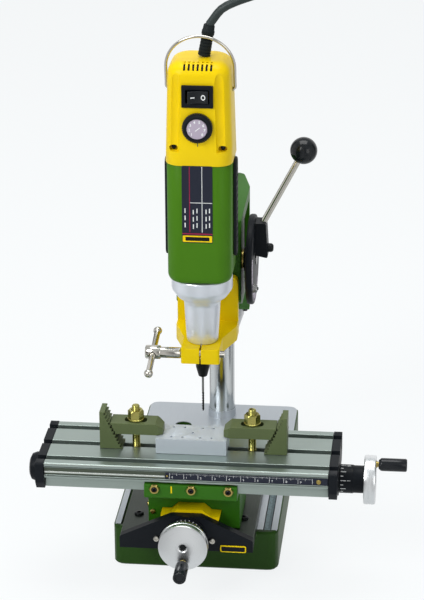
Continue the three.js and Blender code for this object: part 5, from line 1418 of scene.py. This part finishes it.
@dataclass
class HandMachine:
    """The hand-held mains machine: gear head, shell, cap, controls, bail and chuck."""

    centre: Pair = (0.0, -50.0)
    body: str = "feed_slide"
    shell_corner: float = 11.0
    cap_foot: Pair = (47.4, 46.6)
    cap_top: Pair = (43.4, 43.0)
    shoulder: float = 9.0
    vent_height: float = 359.0
    bail_height: float = 344.8
    cap_screw: Pair = (17.2, 307.6)
    label_x: float = -0.6
    label_rules: Pair = (246.5, 295.0)

    def gear_head(self) -> None:
        """The blasted aluminium head with its round neck."""
        low, high = node_box("gear_head")
        profile = [(4.4, low.z), (9.6, low.z), (10, low.z + 0.5), (10, 155.4), (11.1, 155.5), (11.4, 156.2),
                   (12.2, 169), (12.9, 182), (13.1, 184.5)]
        for n in range(1, 6):
            share = n / 12
            flare = (share * share * (3 - 2 * share)) ** 1.05
            profile.append((13.1 + 8.9 * flare, 184.5 + 12.3 * share))
        profile += [(17.7, 190.2), (18.3, 190.9), (20.6, 194.2), (21.7, 196.0)]
        profile += [(22.0, 197.2), (22.0, high.z - 0.6), (21.6, high.z), (4.4, high.z)]
        Shape().turn(profile, Axis.Z, self.centre, 128) \
            .piece("gear_casing", self.body, SILVER_CAST, ["gear_head"])

    def section(self, width: float, depth: float, corner: float, z: float) -> list[Vector]:
        """A rounded square ring about the machine's axis."""
        x, y = self.centre
        return [Vector((x + u, y + v, z)) for u, v in rounded_ring(width, depth, corner, 10)]

    def shell(self) -> None:
        """The green body shell."""
        low, high = node_box("motor_body")
        width = high.x - low.x
        corner = self.shell_corner
        rings = []
        for n in range(9):
            angle = math.pi / 2 * n / 8
            inset = 5.0 * (1 - math.sin(angle))
            rings.append(self.section(width - 2 * inset, width - 2 * inset, corner - inset * 0.6,
                                      low.z + 6.5 * (1 - math.cos(angle))))
        rings += [self.section(width, width, corner, z) for z in (240, high.z - 0.5)]
        rings.append(self.section(width - 0.8, width - 0.8, corner - 0.4, high.z))
        Shape().loops(rings).piece("body_shell", self.body, GREEN_SHELL, ["motor_body"], angle=40)

    def cap_half(self, z: float) -> Pair:
        """Half of the cap's width and half of its depth at a height."""
        low, high = node_box("body_cap")
        share = (z - low.z) / (high.z - low.z)
        across, deep = ((foot + (top - foot) * share) / 2 for foot, top in zip(self.cap_foot, self.cap_top))
        return across, deep

    def cap_ring(self, z: float, inset: float = 0.0) -> list[Vector]:
        """The cap's outline at a height, drawn in by an inset."""
        across, deep = self.cap_half(z)
        return self.section(2 * (across - inset), 2 * (deep - inset), self.shell_corner - inset * 0.45, z)

    def flute(self, side: int) -> Shape:
        """The round cutter of the flute along a front corner."""
        lean = math.radians(21)
        path = []
        for z, proud in ((305.5, 2.0), (330, 2.0), (350, 1.9), (357, 2.3), (362, 4.2)):
            across, deep = (half - self.shell_corner for half in self.cap_half(z))
            reach = self.shell_corner + proud
            x = side * (across + reach * math.sin(lean))
            path.append(Vector((x, self.centre[1] - deep - reach * math.cos(lean), z)))
        return Shape().tube(smooth_path(path, 4.0), 4.2, 28)

    def vents(self) -> tuple[Shape, Shape]:
        """The cutter of the vents in the front shoulder, and the dark liner behind them: a black sheet of
        painted shade inside the vents.
        """
        middle = self.centre[1] - self.cap_half(self.vent_height)[1] + self.shoulder
        outward = Matrix.Translation((0, -self.shoulder, 0))
        slots = Shape()
        for n in range(7):
            pivot = Matrix.Translation(((n - 3) * 3.1, middle, self.vent_height))
            for lean, long in ((48, 5.6), (80, 1.7)):
                slots.slab(pivot @ Matrix.Rotation(math.radians(-lean), 4, "X") @ outward, (1.5, 7.0, long))
        turns = [math.radians(20 + 7 * n) for n in range(12)]
        outline = []
        for radius, order in ((7.7, turns), (5.9, turns[::-1])):
            outline += [polar((middle, self.vent_height), radius, math.pi - t) for t in order]
        return slots, Shape().prism(outline, (-10.6, 10.6), Axis.X)

    def cap(self) -> None:
        """The yellow cap with its flutes, screw recesses, vents and openings."""
        low, high = node_box("body_cap")
        foot, top = low.z, high.z - self.shoulder
        rings = [self.section(46.6, 45.8, 10.8, foot)]
        rings += [self.cap_ring(z) for z in (foot + 0.6, 310, 325, 340, 350, top)]
        for n in range(1, 11):
            angle = math.pi / 2 * n / 10
            rings.append(self.cap_ring(top + self.shoulder * math.sin(angle),
                                       self.shoulder * (1 - math.cos(angle))))
        cap = Shape().loops(rings)
        reach, height = self.cap_screw
        for _, side in SIDES:
            cap.carve(self.flute(side))
            recess = [(side * reach + u, height + v) for u, v in rounded_ring(6.2, 4.2, 2.0, 6)]
            cap.carve(Shape().prism(recess, (-80, -66.0), Axis.Y))
        slots, liner = self.vents()
        cap.carve(slots)
        cap.carve(Shape().block((-9.6, 9.6), (-80, -62), (339.6, 352.0)))
        cap.piece("cap_shell", self.body, YELLOW_SHELL, ["body_cap"], angle=40)
        # A black sheet behind the vent slots: painted shade inside the vents.
        liner.piece("vent_shade_sheet", self.body, BLACK)
        boss = [(0, 0), (1.9, 0), (1.9, 0.9), (1.4, 1.2), (0, 1.2)]
        for name, side in SIDES:
            screw_head(1.7, 1.2, Vector((side * reach, -67.0, height)), Vector((0, -1, 0))) \
                .piece(f"cap_screw_{name}", self.body, OXIDE)
            x = -22.0 if side < 0 else 21.4
            Shape().turn(boss, Axis.X, (self.centre[1], self.bail_height), 28) \
                .moved(Matrix.Translation((x, 0, 0))).piece(f"bail_boss_{name}", self.body, BLACK)

    def label_block(self, ring: Sequence[Pair], z: float, y: Pair) -> Shape:
        """A flat plate on the shell's front, from its outline, the height of its middle and its span in Y."""
        return Shape().prism([(self.label_x + u, z + v) for u, v in ring], y, Axis.Y)

    def label(self) -> None:
        """The dark plate on the shell's front with plain rules, and the bare strip under it."""
        face = self.centre[1] - 23.0
        self.label_block(rounded_ring(21.6, 57.0, 1.0, 4), 267.0, (face - 0.35, face + 0.5)) \
            .piece("label_plate", self.body, NAVY, bevel=0.1)
        self.label_block(rounded_ring(20.8, 4.8, 0.5, 3), 241.5, (face - 0.5, face)) \
            .piece("label_strip", self.body, YELLOW_SHELL, bevel=0.1)
        self.label_block(rounded_ring(17.0, 2.8, 0.5, 3), 241.5, (face - 0.6, face - 0.4)) \
            .piece("label_strip_field", self.body, BLACK)
        proud = (face - 0.45, face)
        red = Shape().block((-6.2, -5.7), proud, self.label_rules)
        red.block((-11.2, 10.0), proud, (244.9, 245.6))
        red.piece("label_red_rules", self.body, MAGENTA)
        rules = Shape().block((2.6, 3.0), proud, self.label_rules)
        rules.block((-5.6, 10.0), proud, (268.2, 268.6))
        for x in (-9.2, -3.4, -0.8, 5.6, 8.0):
            for n in range(3):
                low = 249.0 + 5.4 * n + (x % 1.7)
                rules.block((x - 0.35, x + 0.35), (face - 0.42, face), (low, low + 3.4))
        rules.piece("label_pale_rules", self.body, INK)

    def strips(self) -> None:
        """The ribbed rubber strips on both sides."""
        for name, side in SIDES:
            low, high = node_box(f"strip_{name}")
            middle = (low.z + high.z) / 2
            inner, outer = (low.x, high.x) if side > 0 else (high.x, low.x)
            rings = []
            for x, inset in ((inner, 0.0), (outer - side * 0.8, 0.0), (outer - side * 0.25, 0.35),
                             (outer, 1.1)):
                ring = rounded_ring(high.y - low.y - 2 * inset, high.z - low.z - 2 * inset, 5.0 - inset, 8)
                rings.append([Vector((x, self.centre[1] + u, middle + v)) for u, v in ring])
            strip = Shape().loops(rings)
            across = tuple(sorted((outer - side * 0.7, outer + side)))
            grooves = Shape()
            for n in range(12):
                z = middle - 27.5 + 5 * n
                grooves.block(across, (-54.2, -45.8), (z - 0.7, z + 0.7))
            strip.carve(grooves) \
                .piece(f"strip_pad_{name}", self.body, RUBBER, [f"strip_{name}"], 0.2, 2, 45)

    def switch(self) -> None:
        """The switch's frame and its rocker with plain marks."""
        Shape().copy("switch_frame").piece("switch_bezel", self.body, BLACK, ["switch_frame"], 0.5, 3)
        turn = Matrix.Translation((0, -71.6, 345.8)) @ Matrix.Rotation(math.radians(8), 4, "Z")
        half = 4.4
        outline = [(-7.1, -4.7), (-6.7, -5.0), (0, -3.5), (6.7, -5.0), (7.1, -4.7), (7.1, 1.4), (-7.1, 1.4)]
        Shape().prism(outline, (-half, half)).moved(turn) \
            .piece("rocker_key", "rocker", BLACK_GLOSS, ["switch_rocker"], 0.35, 3)
        slope = math.atan2(1.5, 6.7)
        left = turn @ Matrix.Translation((-3.7, -4.36, 0)) @ Matrix.Rotation(slope, 4, "Z")
        right = turn @ Matrix.Translation((3.7, -4.36, 0)) @ Matrix.Rotation(-slope, 4, "Z")
        Shape().slab(left, (3.0, 0.16, 0.8)).piece("rocker_mark_on", "rocker", INK)
        ring = Shape().turn([(0.95, -0.08), (1.55, -0.08), (1.55, 0.08), (0.95, 0.08)], Axis.Y, (0, 0), 32)
        ring.moved(right @ Matrix.Scale(1.25, 4, (0, 0, 1))).piece("rocker_mark_off", "rocker", INK)

    def knob(self) -> None:
        """The speed knob: a knurled ring with a pale face and figures; the knurl's ribs are a lighter black,
        painted highlight.
        """
        low, high = node_box("speed_knob")
        z = (low.z + high.z) / 2
        front = low.y
        back = front + 4.6
        profile = [(0, front + 0.9), (7.3, front + 0.9), (7.6, front), (9.0, front), (10.0, front + 1.0),
                   (10.5, front + 2.2), (10.5, back), (2, back), (2, high.y), (0, high.y)]
        Shape().turn(profile, Axis.Y, (0, z), 96).piece("knob_ring", "speed_dial", BLACK, ["speed_knob"])
        # Knurl ribs in a lighter black than the ring: painted highlight.
        ribs = Shape()
        for n in range(40):
            turn = 2 * math.pi * n / 40
            x, height = polar((0, z), 10.42, turn)
            spot = Matrix.Translation((x, front + 3.3, height))
            ribs.slab(spot @ Matrix.Rotation(-turn, 4, "Y"), (0.6, 2.4, 0.7))
        ribs.piece("knob_knurl_highlight", "speed_dial", KNURL_HIGHLIGHT)
        face = front + 0.35
        Shape().turn([(0, face), (6.9, face), (7.2, front + 0.6), (7.2, front + 1.0), (0, front + 1.0)],
                     Axis.Y, (0, z), 72).piece("knob_face", "speed_dial", LILAC)
        marks = Shape()
        for n in range(8):
            x, height = polar((0, z), 5.3, math.radians(225 - n * 270 / 7))
            spot = Matrix.Translation((x, face, height))
            marks.text(str(n + 1), 2.7, spot @ Matrix.Rotation(math.pi / 2, 4, "X"), 0.05, 0.09)
        pointer = Matrix.Translation((0.4, front + 0.33, z)) @ Matrix.Rotation(0.9, 4, "Y")
        marks.slab(pointer, (0.5, 0.12, 4.2))
        marks.piece("knob_marks", "speed_dial", INK)
        cap_face = self.centre[1] - self.cap_half(311)[1]
        Shape().block((-0.3, 0.3), (cap_face - 0.1, -72.0), (309.5, 312.5)) \
            .piece("knob_index", self.body, OLIVE)

    def bail(self) -> None:
        """The wire bail, leaning forward."""
        lean = Matrix.Translation((0, self.centre[1], self.bail_height)) \
            @ Matrix.Rotation(math.radians(11), 4, "X")
        reach, leg = 24.0, 16.2
        foot = [Vector((x, 0, z)) for x, z in
                ((-21.2, 0), (-22.8, 0.1), (-23.9, 1.3), (-reach, 5), (-reach, 10))]
        points = list(foot)
        for n in range(25):
            x, z = polar((0, leg), reach, math.pi * (1 - n / 24))
            points.append(Vector((x, 0, z)))
        points += [Vector((-p.x, 0, p.z)) for p in reversed(foot)]
        Shape().tube(smooth_path(points, 1.2), 1.1, 16).moved(lean) \
            .piece("bail_wire", "hanger", NICKEL, ["bail"])

    def ring(self, radius: float, z: float, flats: float = math.inf) -> list[Vector]:
        """A ring about the machine's axis, cut to six flats where half the width across them is given."""
        sixth = math.pi / 3
        points = []
        for n in range(48):
            t = 2 * math.pi * n / 48
            reach = min(radius, flats / math.cos((t + 0.52) % sixth - sixth / 2))
            points.append(Vector((*polar(self.centre, reach, t), z)))
        return points

    def chuck(self) -> None:
        """Spindle nose, collet nut and twist drill."""
        low, high = node_box("chuck")
        rings = []
        for z, radius in ((low.z, 2.6), (low.z + 0.4, 3.2), (low.z + 7.2, 5.0), (low.z + 8, 5.1),
                          (high.z - 1, 5.1), (high.z, 4.8)):
            rings.append(self.ring(radius, z, 4.55 if low.z + 8 < z < high.z - 0.4 else math.inf))
        floor = high.z - 8.2
        rings += [self.ring(radius, z) for radius, z in
                  ((2.7, high.z), (2.7, floor), (1.05, floor), (1.05, low.z))]
        Shape().loops(rings, closed=True).piece("collet_nut", "spindle", OXIDE, ["chuck"])
        Shape().copy("motor_shaft").piece("spindle_bar", "spindle", STEEL, ["motor_shaft"])
        self.drill()

    def drill(self) -> None:
        """The twist drill: a plain shank and a twisted two-flute end."""
        low, high = node_box("drill_bit")
        radius, core = 0.85, 0.42
        plain = [(0, low.z + 15), (0.62, low.z + 15), (radius, low.z + 16), (radius, high.z), (0, high.z)]
        Shape().turn(plain, Axis.Z, self.centre, 24).piece("drill_shank", "spindle", STEEL, ["drill_bit"])
        rings = []
        for n in range(61):
            scale = min(1.0, 0.12 + n / 4)
            ring = []
            for k in range(16):
                reach = scale * (radius if k % 8 in (0, 1, 2, 7) else core)
                turn = 2 * math.pi * (k + n) / 16
                ring.append(Vector((*polar(self.centre, reach, turn), low.z + 15.4 * n / 60)))
            rings.append(ring)
        Shape().loops(rings).piece("drill_flutes", "spindle", OXIDE)

    def build(self) -> None:
        """Makes the machine."""
        self.gear_head()
        self.shell()
        self.cap()
        self.label()
        self.strips()
        self.switch()
        self.knob()
        self.bail()
        self.chuck()
        Shape().copy("motor").piece("motor_block", self.body, OXIDE, ["motor"])


# ---------------------------------------------------------------- assembly


def corners(box: tuple[Vector, Vector]) -> list[list[float]]:
    """A box as plain lists."""
    return [list(box[0]), list(box[1])]


def main() -> None:
    """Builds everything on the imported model."""
    logging.basicConfig(level=logging.INFO, format="%(message)s")
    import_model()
    studio = Studio()
    studio.camera()
    MainsCord().build()
    studio.build()
    Stand().build()
    Drive("y", "y_drive", "y_crank", Axis.Y, -1, -math.pi / 2, True).build()
    Drive("x", "x_drive", "x_crank", Axis.X, 1, math.pi / 2).build()
    CrossSlide().build()
    for side, _ in SIDES:
        StepClamp(side).build()
    Workpiece().build()
    Head().build()
    Lever().build()
    FeedArm().build()
    HandMachine().build()


if __name__ == "__main__":
    main()
